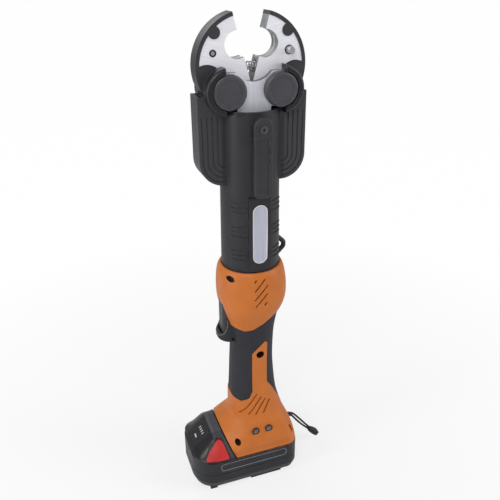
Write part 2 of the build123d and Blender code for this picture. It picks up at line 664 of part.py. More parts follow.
def make_housing():
    outer = housing_form(0)
    middle = housing_form(GRIP_SKIN)
    inner = housing_form(GRIP_SKIN + HOUSING_WALL)
    motor_top = MOTOR_BASE_Z + MOTOR_LENGTH
    gearbox_top = motor_top + GEARBOX_LENGTH

    # Walls that carry the drive, the trigger pocket, the battery rails and the contacts
    walls = []
    for z, radius in ((MOTOR_BASE_Z + 4, MOTOR_R), (motor_top - 8, MOTOR_R), (gearbox_top - 8, GEARBOX_R)):
        walls.append(block((-BIG, BIG), (-BIG, BIG), (z, z + 3)) - rod_z(radius + SEAT, z, z + 3))
    pocket_half = TRIGGER_HALF + CLEAR
    pocket_outer = pocket_half + HOUSING_WALL
    walls.append(block((-BIG, POCKET_DEPTH_X + POCKET_WALL), (-pocket_outer, pocket_outer),
                       (POCKET_FLOOR_Z - 8, TRIGGER_HINGE[1] + 8)))
    swivel_low = RIM_Z - SWIVEL_DEPTH
    walls.append(block((-BIG, BIG), (-BIG, BIG), (swivel_low - 3, swivel_low + SWIVEL_DEPTH)))
    screws = ((STRIPE_SCREW, STRIPE_HEAD_Y, STRIPE_HOLE_R), (FOOT_SCREW, FOOT_HEAD_Y, FOOT_HOLE_R))
    for (x, z), head_y, hole_r in screws:
        walls.append(rod_y(HOUSING_BOSS_R, -BIG, BIG, x, z))
    rail_low = DECK_Z + SLIDE_GAP
    rail_top = DECK_Z + TOWER_NECK - CLEAR
    for side in (-1, 1):
        reach = sorted((side * (TOWER_HALF + CLEAR), side * RAIL_REACH))
        walls.append(block(RAIL_SPAN, reach, (rail_low, rail_top)))
        shelf = sorted((side * (TERMINAL_HALF + SEAT), side * RAIL_REACH))
        walls.append(block((-4, 8), shelf, (TERMINAL_Z + 1, TERMINAL_Z + 8)))
    strap_x, strap_z = STRAP_ROUTE[0]
    pin_x = strap_x - STRAP_PIN_R - SEAT
    for side in (-1, 1):
        reach = sorted((side * (STRAP_PIN_HALF - 2.5), side * (STRAP_PIN_HALF + 2.5)))
        walls.append(block((pin_x - 3.0, BIG), reach, (strap_z - 3.5, strap_z + 3.5)))
    soft = slab_xz(grip_outline(), -BIG, BIG)
    soft += block((0, BIG), (-TONGUE_HALF, TONGUE_HALF), (COLLAR_Z, COLLAR_Z + TONGUE_RISE))
    grip = ((housing_form(GRIP_SINK) + lip_form()) & soft) - middle
    housing = (outer - soft) + middle - (inner - fused(walls))

    # The front edge leans over the battery block, and the tower slides in under it
    low = DECK_Z - COVER_HEIGHT
    high = DECK_Z + BLOCK_HEIGHT + 8
    front = polygon(((block_rear_x(low) + FRONT_GAP, low), (block_rear_x(high) + FRONT_GAP, high),
                     (-BIG, high), (-BIG, low)))
    cuts = [slab_xz(front, -BIG, BIG)]
    tower_half = TOWER_HALF + TOWER_LIP + SLIDE_GAP
    tower_top = DECK_Z + TOWER_NECK + TOWER_LIP_HEIGHT
    cuts.append(block((-BIG, RAIL_SPAN[0]), (-tower_half, tower_half), (low, tower_top + SLIDE_GAP)))

    # Trigger pocket, swivel bore and the passage for the drive shaft
    pocket = block((-BIG, POCKET_DEPTH_X), (-pocket_half, pocket_half), (POCKET_FLOOR_Z, COLLAR_Z + 11.0))
    hinge_x, hinge_z = TRIGGER_HINGE
    pocket += block((hinge_x - TRIGGER_KNUCKLE_R - CLEAR, POCKET_DEPTH_X), (-pocket_half, pocket_half),
                    (POCKET_FLOOR_Z, hinge_z + TRIGGER_KNUCKLE_R + 1.0))
    cuts.append(pocket - lip_form())
    pin_reach = pocket_half + TRIGGER_PIN_SEAT
    cuts.append(rod_y(TRIGGER_PIN_R + RUN_FIT, -pin_reach, pin_reach, hinge_x, hinge_z))
    switch_half = SWITCH_HALF + SEAT
    cuts.append(block((POCKET_DEPTH_X - 1, POCKET_DEPTH_X + POCKET_WALL + 1), (-switch_half, switch_half),
                      (SWITCH_Z[0] - SEAT, SWITCH_Z[1] + SEAT)))
    cuts.append(rod_z(BARREL_BASE_R + CLEAR + SEAT, swivel_low - SLIDE_GAP, RIM_Z + 1))
    ring_low = swivel_low + SWIVEL_FLANGE + CLEAR
    ring_high = ring_low + SWIVEL_NECK - 2 * CLEAR
    cuts.append(rod_z(SWIVEL_RING_R + SEAT, ring_low, ring_high))
    cuts.append(rod_z(GEARBOX_R + SEAT, gearbox_top - 8, RIM_Z))

    # Screw holes, the collar and lip holes, lights, vents and the strap outlet
    screw_solids = []
    for (x, z), head_y, hole_r in screws:
        cuts.append(rod_y(hole_r, -BIG, head_y + SCREW_HEAD, x, z))
        cuts.append(rod_y(SCREW_R + SEAT, head_y, SCREW_REACH + SEAT, x, z))
        screw_solids.append(screw_along_y(x, z, head_y, SCREW_REACH))
    cuts.append(rod_y(COLLAR_HOLE_R, -BIG, COLLAR_HOLE_Y, COLLAR_HOLE[0], RIM_Z - COLLAR_HOLE[1]))
    cuts.append(rod_y(LIP_HOLE_R, -LIP_HALF - 1, LIP_HALF + 1, *LIP_HOLE))
    cuts.append(Pos(*STRAP_SLOT) * Rot(0, 0, STRAP_SLOT_TURN) * Box(*STRAP_SLOT_SIZE))
    for x in LIGHT_X:
        cuts.append(rod_y(LIGHT_R + SEAT, LIGHT_FACE_Y - 4, LIGHT_FACE_Y + LIGHT_DEPTH + 4, x, LIGHT_Z))
    cuts.append(fused([slab_xz(face, -BIG, BIG) for face in vent_faces()]) - inner)
    cuts.append(rod_x(STRAP_HOLE_R, strap_x - STRAP_PIN_R, BIG, 0, strap_z))
    cuts.append(rod_y(STRAP_PIN_R + SEAT, -STRAP_PIN_HALF, STRAP_PIN_HALF, pin_x, strap_z))
    cutter = fused(cuts)
    housing -= cutter
    grip -= cutter

    save(housing & NEAR_HALF, "housing_near")
    save(housing & FAR_HALF, "housing_far")
    save(grip & NEAR_HALF, "grip_near")
    save(grip & FAR_HALF, "grip_far")
    save(group(screw_solids), "housing_screws")
    save(rod_y(STRAP_PIN_R, -STRAP_PIN_HALF, STRAP_PIN_HALF, pin_x, strap_z), "strap_pin")
    ring = ring_z(SWIVEL_RING_R, SWIVEL_NECK_R + CLEAR, ring_low, ring_high)
    save(ring, "swivel_ring")


def vent_faces():
    """Slanted slots in the collar and the foot, drawn from the side."""
    slots = []
    collar = COLLAR_Z
    for x0, z0, x1, z1 in ((-6.2, 41.6, -5.2, 43.2), (-6.2, 32.1, 3.2, 43.2), (-6.2, 22.5, 5.9, 36.6),
                           (-4.9, 14.6, 5.9, 28.0), (3.6, 15.2, 5.6, 17.8)):
        slots.append(slot_face((x0, collar + z0), (x1, collar + z1), VENT_WIDTH))
    foot = FOOT_TOP_Z
    for x0, z0, x1, z1 in ((-19.3, -21.9, -1.3, -1.6), (-11.2, -22.2, 3.3, -5.8), (-3.8, -23.1, 7.6, -8.4),
                           (4.6, -23.5, 12.1, -10.5)):
        slots.append(slot_face((x0, foot + z0), (x1, foot + z1), VENT_WIDTH))
    return slots


def slot_face(start, end, width):
    length = math.hypot(end[0] - start[0], end[1] - start[1])
    angle = math.degrees(math.atan2(end[1] - start[1], end[0] - start[0]))
    middle = ((start[0] + end[0]) / 2, (start[1] + end[1]) / 2)
    return Pos(*middle) * Rot(0, 0, angle) * SlotCenterToCenter(length, width)


TERMINAL_Z = DECK_Z + TOWER_NECK + TOWER_LIP_HEIGHT + 1.0
TERMINAL_HALF = 13.0
TERMINAL_HEIGHT = 11.0
BOARD_THICK = 1.6


def make_handle_inside():
    motor_top = MOTOR_BASE_Z + MOTOR_LENGTH
    gearbox_top = motor_top + GEARBOX_LENGTH
    can = rod_z(MOTOR_R, MOTOR_BASE_Z, motor_top)
    can -= rod_z(MOTOR_R - MOTOR_WALL, MOTOR_BASE_Z + MOTOR_WALL, motor_top - MOTOR_WALL)
    can -= rod_z(ROTOR_SHAFT_R + RUN_FIT, MOTOR_BASE_Z - 1, motor_top + 1)
    save(can, "motor_can")
    rotor = rod_z(ROTOR_R, MOTOR_BASE_Z + 5, motor_top - 5)
    pinion_top = motor_top + 6
    rotor += rod_z(ROTOR_SHAFT_R, MOTOR_BASE_Z + SEAT, pinion_top)
    save(rotor, "motor_rotor")

    gearbox = rod_z(GEARBOX_R, motor_top, gearbox_top)
    gearbox -= rod_z(GEARBOX_R - GEARBOX_WALL, motor_top + GEARBOX_WALL, gearbox_top - GEARBOX_WALL)
    gearbox -= rod_z(ROTOR_SHAFT_R + CLEAR, motor_top - 1, motor_top + GEARBOX_WALL + 1)
    gearbox -= rod_z(DRIVE_SHAFT_R + RUN_FIT, gearbox_top - GEARBOX_WALL - 1, gearbox_top + 1)
    save(gearbox, "gearbox_housing")

    carrier_low = pinion_top + CLEAR
    carrier_high = gearbox_top - GEARBOX_WALL - CLEAR
    shaft = rod_z(GEARBOX_R - GEARBOX_WALL - SLIDE_GAP, carrier_low, carrier_high)
    eccentric_low = PUMP_Z + 2.0
    shaft += rod_z(DRIVE_SHAFT_R, carrier_high, eccentric_low)
    shaft += rod_z(ECCENTRIC_R, eccentric_low, eccentric_low + ECCENTRIC_LENGTH, ECCENTRIC_OFFSET)
    save(shaft, "drive_shaft")

    wall_x = POCKET_DEPTH_X
    switch = block((wall_x, wall_x + POCKET_WALL), (-SWITCH_HALF, SWITCH_HALF), SWITCH_Z)
    switch += block((wall_x - 2, wall_x), (-2, 2), (SWITCH_Z[0] + 4, SWITCH_Z[1] - 4))
    save(switch, "trigger_switch")

    terminal = block((-12, 16), (-TERMINAL_HALF, TERMINAL_HALF), (TERMINAL_Z, TERMINAL_Z + TERMINAL_HEIGHT))
    for side in (-1, 1):
        blade_y = (side * BLADE_Y - BLADE_THICK / 2, side * BLADE_Y + BLADE_THICK / 2)
        terminal += block(BLADE_SPAN, blade_y, (TERMINAL_Z - BLADE_DEPTH, TERMINAL_Z))
    save(terminal, "terminal_block")
    board_z = TERMINAL_Z + TERMINAL_HEIGHT
    save(block((-18, 22), (-20, 20), (board_z, board_z + BOARD_THICK)), "control_board")
    lights = []
    for x in LIGHT_X:
        lens = rod_y(LIGHT_R, LIGHT_FACE_Y, LIGHT_FACE_Y + LIGHT_DEPTH, x, LIGHT_Z)
        lights.append(fillet(lens.edges().group_by(Axis.Y)[0], 1.2))
    save(group(lights), "indicator_lights")


def make_trigger():
    hinge_x, hinge_z = TRIGGER_HINGE
    low = TRIGGER_LOW_Z
    face_x = TRIGGER_FACE_X
    edges = [Line((face_x, COLLAR_Z + 10.0), (face_x, low + 3.6)),
             ThreePointArc((face_x, low + 3.6), (-27.6, low), (-23.9, low + 2.6)),
             Line((-23.9, low + 2.6), (-23.4, hinge_z)), Line((-23.4, hinge_z), (-27.9, hinge_z)),
             Line((-27.9, hinge_z), (-27.9, COLLAR_Z + 10.4)),
             Line((-27.9, COLLAR_Z + 10.4), (face_x, COLLAR_Z + 10.0))]
    paddle = slab_xz(make_face(edges), -TRIGGER_HALF, TRIGGER_HALF)
    plan = rounded(face_x, hinge_x + 2 * TRIGGER_KNUCKLE_R, TRIGGER_HALF, TRIGGER_ROUND, SEAT)
    paddle &= extrude(Plane.XY.offset(low) * plan, hinge_z - low)
    paddle += rod_y(TRIGGER_KNUCKLE_R, -TRIGGER_HALF, TRIGGER_HALF, hinge_x, hinge_z)
    paddle -= rod_y(TRIGGER_PIN_R + RUN_FIT, -TRIGGER_HALF, TRIGGER_HALF, hinge_x, hinge_z)
    save(paddle, "trigger")
    reach = TRIGGER_HALF + CLEAR + TRIGGER_PIN_SEAT - SEAT
    save(rod_y(TRIGGER_PIN_R, -reach, reach, hinge_x, hinge_z), "trigger_pin")


# Barrel and jaw guard

PUMP_Z = RIM_Z - SWIVEL_DEPTH + SWIVEL_FLANGE + SWIVEL_NECK
CYLINDER_Z = PUMP_Z + PUMP_LENGTH
CYLINDER_TOP_Z = CYLINDER_Z + CYLINDER_LENGTH
GLAND_TOP_Z = CYLINDER_TOP_Z + GLAND_FLANGE
LEVER_PIVOT_Z = BARREL_TOP_Z - LEVER_PIVOT_DROP
PLUNGER_Z = LEVER_PIVOT_Z - PLUNGER_DROP


def wing_face(inset, top):
    """Front view of the wings, each side, with round lower corners."""
    half = WING_HALF - inset
    low = BARREL_TOP_Z - WING_LOW_DROP + inset
    corner = WING_CORNER - inset
    edges = [Line((-half, top), (-half, low + corner)),
             RadiusArc((-half, low + corner), (-half + corner, low), -corner),
             Line((-half + corner, low), (half - corner, low)),
             RadiusArc((half - corner, low), (half, low + corner), -corner),
             Line((half, low + corner), (half, top)), Line((half, top), (-half, top))]
    return make_face(edges)


def barrel_profile(inset):
    """Half section of the barrel, to be turned about the axis."""
    low = RIM_Z - SWIVEL_DEPTH
    neck = low + SWIVEL_FLANGE
    shoulder = neck + SWIVEL_NECK
    if inset:
        bore = SWIVEL_NECK_R - BARREL_WALL + SEAT
        points = ((0, low - 1), (bore, low - 1), (bore, shoulder + BARREL_WALL),
                  (BARREL_BASE_R - inset, shoulder + BARREL_WALL),
                  (BARREL_TOP_R - inset, RIM_Z + BARREL_TAPER),
                  (BARREL_TOP_R - inset, BARREL_TOP_Z + 1), (0, BARREL_TOP_Z + 1))
    else:
        points = ((0, low), (SWIVEL_FLANGE_R, low), (SWIVEL_FLANGE_R, neck), (SWIVEL_NECK_R, neck),
                  (SWIVEL_NECK_R, shoulder), (BARREL_BASE_R, shoulder), (BARREL_BASE_R, RIM_Z),
                  (BARREL_TOP_R, RIM_Z + BARREL_TAPER), (BARREL_TOP_R, BARREL_TOP_Z), (0, BARREL_TOP_Z))
    return revolve(Plane.XZ * polygon(points), Axis.Z)


def barrel_radius(z):
    share = min(max((z - RIM_Z) / BARREL_TAPER, 0), 1)
    return BARREL_BASE_R + share * (BARREL_TOP_R - BARREL_BASE_R)


def plate_face(grow):
    middle_z = RIM_Z + PLATE_LOW + PLATE_LENGTH / 2
    slot = SlotOverall(PLATE_LENGTH + 2 * grow, PLATE_WIDTH + 2 * grow)
    return Pos(0, middle_z) * Rot(0, 0, 90) * slot


PANEL_Y = -(BARREL_BASE_R + PANEL_PROUD)


def make_barrel():
    wing_top = BARREL_TOP_Z + WING_TOP_RISE
    inner_y = WING_HALF_THICK - BARREL_WALL
    shell = barrel_profile(0) + slab_xz(wing_face(0, wing_top), -WING_HALF_THICK, WING_HALF_THICK)

    # The rating plate lies on a flat raised panel on the near side
    panel_top = RIM_Z + PLATE_LOW + PLATE_LENGTH + 7
    panel = block((-PANEL_HALF, PANEL_HALF), (PANEL_Y, -BARREL_TOP_R / 2), (RIM_Z + 2, panel_top))
    shell += fillet(panel.edges().group_by(Axis.Y)[0], PANEL_PROUD)

    # Three groups of three thin ribs on each side of the panel, near and far
    for index in range(9):
        z = BARREL_TOP_Z - RIB_TOP_BELOW - (index // 3) * RIB_GROUP_DROP - (index % 3) * RIB_PITCH
        radius = barrel_radius(z)
        hoop = ring_z(radius + RIB_RISE, radius - BARREL_WALL / 2, z - RIB_WIDTH, z)
        strip = block(RIB_SPAN, (-BIG, BIG), (z - RIB_WIDTH, z))
        shell += both_sides(hoop & strip)

    # Boss that carries the release lever
    boss_top = BARREL_TOP_Z - LEVER_BOSS_TOP
    boss_face = rectangle((-LEVER_BOSS_HALF, LEVER_BOSS_HALF), (BARREL_TOP_Z - LEVER_BOSS_LOW, boss_top))
    boss_face = fillet(boss_face.vertices().group_by(Axis.Y)[-1], LEVER_BOSS_HALF - 1)
    shell += slab_xz(boss_face, LEVER_BOSS_FACE_Y, -BARREL_TOP_R + BARREL_WALL)

    cavity = barrel_profile(BARREL_WALL) + slab_xz(wing_face(BARREL_WALL, wing_top + 1), -inner_y, inner_y)
    shell -= cavity
    held = barrel_profile(BARREL_WALL)
    for z in (PUMP_Z + 8, CYLINDER_Z + 35, CYLINDER_Z + 62):
        shell += (block((-BIG, BIG), (-BIG, BIG), (z, z + 3)) & held) - rod_z(CYLINDER_R + SEAT, z, z + 3)

    # Above the barrel the guard opens between the pivots and round their heads
    shell -= block((-PIVOT_X, PIVOT_X), (-BIG, BIG), (BARREL_TOP_Z, BIG * 2))
    ring_inner = LINK_END_R + SEAT
    shell -= both_sides(rod_y(ring_inner, -BIG, BIG, PIVOT_X, PIVOT_Z))
    half_ring = disc(COLLAR_RING_R, PIVOT_X, PIVOT_Z) - disc(ring_inner, PIVOT_X, PIVOT_Z)
    half_ring &= rectangle((PIVOT_X + COLLAR_RING_CUT, BIG), (0, 2 * BIG))
    for low, high in ((-COLLAR_RING_FRONT, -inner_y), (inner_y, COLLAR_RING_FRONT)):
        ring = slab_xz(half_ring, low, high)
        outer_face = ring.edges().group_by(Axis.Y)[0 if low < 0 else -1]
        rim = outer_face.filter_by(GeomType.CIRCLE).sort_by(SortBy.RADIUS)[-1]
        shell += both_sides(fillet(rim, COLLAR_RING_ROUND))

    # Grooves that follow the outline of the wings
    for step in GROOVE_STEPS:
        line = wing_face(step, wing_top + 5) - wing_face(step + GROOVE_WIDTH, wing_top + 10)
        line &= rectangle((-BIG, BIG), (0, BARREL_TOP_Z - 4.5))
        for low, high in ((-WING_HALF_THICK, -WING_HALF_THICK + GROOVE_DEPTH),
                          (WING_HALF_THICK - GROOVE_DEPTH, WING_HALF_THICK)):
            shell -= slab_xz(line, low, high) - rod_z(BARREL_TOP_R + 1, 0, 2 * BIG)

    # Plate recess, lever slot and pin hole, plunger hole, loop sockets and screw bosses
    shell -= slab_xz(plate_face(SEAT), PANEL_Y, PANEL_Y + PLATE_THICK + SEAT)
    lug_slot = LEVER_LUG_HALF + CLEAR
    shell -= block((-lug_slot, lug_slot), (-BIG, -BARREL_TOP_R + 1.5),
                   (LEVER_PIVOT_Z - LEVER_LUG_R - 1.5, LEVER_PIVOT_Z + LEVER_LUG_R + 1.5))
    pin_reach = LEVER_BOSS_HALF - 1
    shell -= rod_x(LEVER_PIN_R + RUN_FIT, -pin_reach, pin_reach, LEVER_PIVOT_Y, LEVER_PIVOT_Z)
    shell -= rod_y(PLUNGER_R + CLEAR, -BIG, -CYLINDER_R, 0, PLUNGER_Z)
    shell -= loop_solid(SEAT)
    screws = []
    screw_z = BARREL_TOP_Z - GUARD_SCREW_DROP
    head_y = WING_HALF_THICK - SCREW_HEAD
    for side in (-1, 1):
        x = side * GUARD_SCREW_X
        shell += rod_y(GUARD_BOSS_R, -inner_y, inner_y, x, screw_z)
        shell -= rod_y(SCREW_HEAD_R + SEAT, head_y - SCREW_HEAD, BIG, x, screw_z)
        shell -= rod_y(SCREW_R + SEAT, -inner_y + 4 - SEAT, BIG, x, screw_z)
        head = rod_y(SCREW_HEAD_R, head_y - SCREW_HEAD, head_y, x, screw_z)
        screws.append(head + rod_y(SCREW_R, -inner_y + 4, head_y - SCREW_HEAD, x, screw_z))
    save(shell & NEAR_HALF, "barrel_near")
    save(shell & FAR_HALF, "barrel_far")
    save(group(screws), "guard_screws")
    plate = slab_xz(plate_face(0), PANEL_Y, PANEL_Y + PLATE_THICK)
    save(plate, "rating_plate")
    save(loop_solid(0), "hang_loop")


def loop_solid(grow):
    """Angular loop of round stock, its ends clamped between the barrel halves."""
    low = RIM_Z + LOOP_LOW
    high = RIM_Z + LOOP_HIGH
    root = barrel_radius(high) - BARREL_WALL + SEAT
    bend = root + 3.5
    tip_low = (low + high) / 2 - LOOP_TIP
    tip_high = (low + high) / 2 + LOOP_TIP
    path = FilletPolyline((root, 0, high), (bend, 0, high), (LOOP_REACH, 0, tip_high),
                          (LOOP_REACH, 0, tip_low), (bend, 0, low), (root, 0, low), radius=LOOP_BEND)
    section = Plane(origin=path @ 0, z_dir=path % 0) * Circle(LOOP_R + grow)
    return sweep(section, path=path)


def make_lever():
    face_y = LEVER_FACE_Y
    back_y = face_y + LEVER_THICK
    top = BARREL_TOP_Z - LEVER_TOP_DROP
    low = top - LEVER_LENGTH
    outline = rectangle((-LEVER_HALF, LEVER_HALF), (low, top))
    outline = fillet(outline.vertices().group_by(Axis.Y)[-1], LEVER_HALF - 0.5)
    outline = fillet(outline.vertices().group_by(Axis.Y)[0], 4.0)
    lever = slab_xz(outline, face_y, back_y)
    lever = fillet(lever.edges().group_by(Axis.Y)[0], 1.0)
    panel = rectangle((-LEVER_PANEL_HALF, LEVER_PANEL_HALF), (low + 4, low + 4 + LEVER_PANEL_LENGTH))
    panel = fillet(panel.vertices(), 2.0)
    lever -= slab_xz(panel, face_y, face_y + LEVER_PANEL_DEPTH)
    lug = block((-LEVER_LUG_HALF, LEVER_LUG_HALF), (back_y, LEVER_PIVOT_Y),
                (LEVER_PIVOT_Z - LEVER_LUG_R, LEVER_PIVOT_Z + LEVER_LUG_R))
    lug += rod_x(LEVER_LUG_R, -LEVER_LUG_HALF, LEVER_LUG_HALF, LEVER_PIVOT_Y, LEVER_PIVOT_Z)
    lever += lug & block((-BIG, BIG), (-BIG, -BARREL_TOP_R + 1.0), (0, 2 * BIG))
    lever -= rod_x(LEVER_PIN_R + RUN_FIT, -LEVER_LUG_HALF, LEVER_LUG_HALF, LEVER_PIVOT_Y, LEVER_PIVOT_Z)
    lever -= rod_y(LEVER_SCREW_R + SEAT, face_y, face_y + 2.5, 0, LEVER_PIVOT_Z)
    save(lever, "release_lever")
    reach = LEVER_BOSS_HALF - 1 - SEAT
    save(rod_x(LEVER_PIN_R, -reach, reach, LEVER_PIVOT_Y, LEVER_PIVOT_Z), "lever_pin")
    screw = rod_y(LEVER_SCREW_R, face_y - LEVER_SCREW_PROUD, face_y + 2.5, 0, LEVER_PIVOT_Z)
    screw -= rod_y(LEVER_SCREW_R * 0.4, face_y - LEVER_SCREW_PROUD, face_y + 1.2, 0, LEVER_PIVOT_Z)
    save(screw, "lever_screw")
    plunger_in = -CYLINDER_R + PLUNGER_SINK - LEVER_PLUNGER_TRAVEL - CLEAR
    save(rod_y(PLUNGER_R, back_y + CLEAR, plunger_in, 0, PLUNGER_Z), "release_plunger")


LEVER_PLUNGER_TRAVEL = PLUNGER_DROP * math.tan(math.radians(LEVER_TRAVEL))


# Hydraulics in the barrel

def make_hydraulics():
    pump = rod_z(CYLINDER_R, PUMP_Z, CYLINDER_Z)
    eccentric_z = PUMP_Z + 2.0 + ECCENTRIC_LENGTH / 2
    pump -= rod_z(PUMP_BORE_R, PUMP_Z - 1, PUMP_Z + ECCENTRIC_LENGTH + 4)
    piston_in = ECCENTRIC_R + ECCENTRIC_OFFSET + CLEAR
    piston_out = piston_in + PUMP_PISTON_LENGTH
    pump -= rod_x(PUMP_PISTON_R + RUN_FIT, 0, piston_out + 1, 0, eccentric_z)
    save(pump, "pump_block")
    save(rod_x(PUMP_PISTON_R, piston_in, piston_out, 0, eccentric_z), "pump_piston")
    bladder_low = CYLINDER_Z + 3
    bladder = ring_z(CYLINDER_R + SEAT + BLADDER_THICK, CYLINDER_R + SEAT,
                     bladder_low, bladder_low + BLADDER_LENGTH)
    save(bladder, "oil_bladder")

    cylinder = rod_z(CYLINDER_R, CYLINDER_Z, CYLINDER_TOP_Z)
    cylinder -= rod_z(CYLINDER_BORE_R, CYLINDER_Z + CYLINDER_FLOOR, CYLINDER_TOP_Z)
    cylinder -= rod_y(PLUNGER_R + SEAT, -BIG, -CYLINDER_R + PLUNGER_SINK, 0, PLUNGER_Z)
    save(cylinder, "cylinder")
    gland = rod_z(CYLINDER_BORE_R - SEAT, CYLINDER_TOP_Z - GLAND_PLUG, CYLINDER_TOP_Z)
    gland += rod_z(CYLINDER_R, CYLINDER_TOP_Z, GLAND_TOP_Z)
    gland -= rod_z(RAM_ROD_R + SEAT, CYLINDER_Z, GLAND_TOP_Z)
    stem_low = CYLINDER_TOP_Z + 1.0
    pins = []
    for side in (-1, 1):
        slot_y = sorted((side * (LINK_IN - SEAT / 2), side * (LINK_OUT + SEAT / 2)))
        gland -= block((-LINK_STEM_HALF - SEAT, LINK_STEM_HALF + SEAT), slot_y, (stem_low, GLAND_TOP_Z))
    pin_z = (stem_low + GLAND_TOP_Z) / 2
    pin_reach = LINK_OUT + 2.5
    for x in (-FRAME_PIN_X, FRAME_PIN_X):
        gland -= rod_y(FRAME_PIN_R + RUN_FIT, -pin_reach - SEAT, pin_reach + SEAT, x, pin_z)
        pins.append(rod_y(FRAME_PIN_R, -pin_reach, pin_reach, x, pin_z))
    save(gland, "gland_nut")
    save(group(pins), "frame_pins")

    # Link plates stand in the gland's slots and carry the pivots
    ends = both_sides(disc(LINK_END_R, PIVOT_X, PIVOT_Z))
    stem = rectangle((-LINK_STEM_HALF, LINK_STEM_HALF), (stem_low, PIVOT_Z))
    bridge = rectangle((-PIVOT_X, PIVOT_X), (PIVOT_Z - LINK_END_R + 1.0, PIVOT_Z + LINK_END_R))
    plate = ends + stem + bridge
    plate -= disc(LINK_DIP_R, 0, PIVOT_Z + LINK_DIP_RISE + LINK_DIP_R)
    plate -= both_sides(disc(PIVOT_R + RUN_FIT, PIVOT_X, PIVOT_Z))
    for x in (-FRAME_PIN_X, FRAME_PIN_X):
        plate -= disc(FRAME_PIN_R + RUN_FIT, x, pin_z)
    save(slab_xz(plate, -LINK_OUT, -LINK_IN), "link_plate_near")
    save(slab_xz(plate, LINK_IN, LINK_OUT), "link_plate_far")

    pivots = []
    caps = []
    cap_face = LINK_OUT + CAP_HEIGHT
    for x in (-PIVOT_X, PIVOT_X):
        head = pivot_head(x, -cap_face, -LINK_OUT)
        pivots.append(head + rod_y(PIVOT_R, -LINK_OUT, LINK_OUT + 3, x, PIVOT_Z))
        cap = pivot_head(x, LINK_OUT, cap_face)
        caps.append(cap - rod_y(PIVOT_R + RUN_FIT, LINK_OUT, LINK_OUT + 3 + SEAT, x, PIVOT_Z))
    save(group(pivots), "pivot_pins")
    save(group(caps), "pivot_caps")


def pivot_head(x, low, high):
    """Round head with a dished face, on either side of the tool."""
    head = rod_y(CAP_R, low, high, x, PIVOT_Z)
    outer = low if low < 0 else high
    inward = 1 if low < 0 else -1
    head = fillet(head.edges().group_by(Axis.Y)[0 if low < 0 else -1], CAP_ROUND)
    dish = sorted((outer, outer + inward * CAP_DISH))
    return head - rod_y(CAP_DISH_R, dish[0], dish[1], x, PIVOT_Z)


def make_ram():
    piston_low = CYLINDER_Z + CYLINDER_FLOOR + 0.5
    piston_high = piston_low + PISTON_LENGTH
    head_low = ROLLER_Z - RAM_HEAD_DOWN
    head_high = ROLLER_Z + RAM_HEAD_UP
    half_y = RAM_ROD_R
    ram = rod_z(PISTON_R, piston_low, piston_high) + rod_z(RAM_ROD_R, piston_high, head_low + 1)
    head = block((-RAM_HEAD_HALF, RAM_HEAD_HALF), (-half_y, half_y), (head_low, head_high))
    head = fillet(head.edges().filter_by(Axis.Y).group_by(Axis.Z)[-1], 3.0)
    slot_low = ROLLER_Z - ROLLER_R - CLEAR
    head -= block((-BIG, BIG), (-ROLLER_SLOT_HALF, ROLLER_SLOT_HALF), (slot_low, head_high + 1))
    ram += head
    pins = []
    for side, name in ((-1, "left_roller"), (1, "right_roller")):
        x = side * ROLLER_X
        ram -= rod_y(ROLLER_PIN_R + RUN_FIT, -BIG, BIG, x, ROLLER_Z)
        pins.append(rod_y(ROLLER_PIN_R, -half_y, half_y, x, ROLLER_Z))
        roller = rod_y(ROLLER_R, -ROLLER_HALF, ROLLER_HALF, x, ROLLER_Z)
        roller -= rod_y(ROLLER_PIN_R + RUN_FIT, -ROLLER_HALF, ROLLER_HALF, x, ROLLER_Z)
        save(roller, name)
    seal_low = piston_low + (PISTON_LENGTH - SEAL_LENGTH) / 2
    ram -= ring_z(PISTON_R, PISTON_R - SEAL_DEPTH, seal_low, seal_low + SEAL_LENGTH)
    save(ram, "ram")
    save(group(pins), "roller_pins")
    seal = ring_z(PISTON_R + SEAT / 2, PISTON_R - SEAL_DEPTH + SEAT / 2,
                  seal_low + SEAT, seal_low + SEAL_LENGTH - SEAT)
    save(seal, "piston_seal")
    gland_low = CYLINDER_TOP_Z - GLAND_PLUG
    spring = straight_coil(RETURN_COIL_R, RETURN_WIRE_R, RETURN_TURNS, piston_high + SEAT, gland_low - SEAT,
                           "return spring")
    save(spring, "return_spring")


# Jaws

def roller_in_jaw(stroke):
    """Place of the right roller in the closed right jaw's own frame, at a stroke of the ram."""
    turn = math.radians(JAW_OPEN) * (1 - stroke / RAM_STROKE)
    x = ROLLER_X - PIVOT_X
    z = -ROLLER_DROP + stroke
    return Vector(PIVOT_X + x * math.cos(turn) - z * math.sin(turn),
                  PIVOT_Z + x * math.sin(turn) + z * math.cos(turn))


def cam_point(stroke):
    """Point of the tail's working face that the roller reaches at this stroke."""
    small = 0.01
    along = (roller_in_jaw(stroke + small) - roller_in_jaw(stroke - small)).normalized()
    outward = Vector(along.Y, -along.X)
    return roller_in_jaw(stroke) + outward * (ROLLER_R + CLEAR)


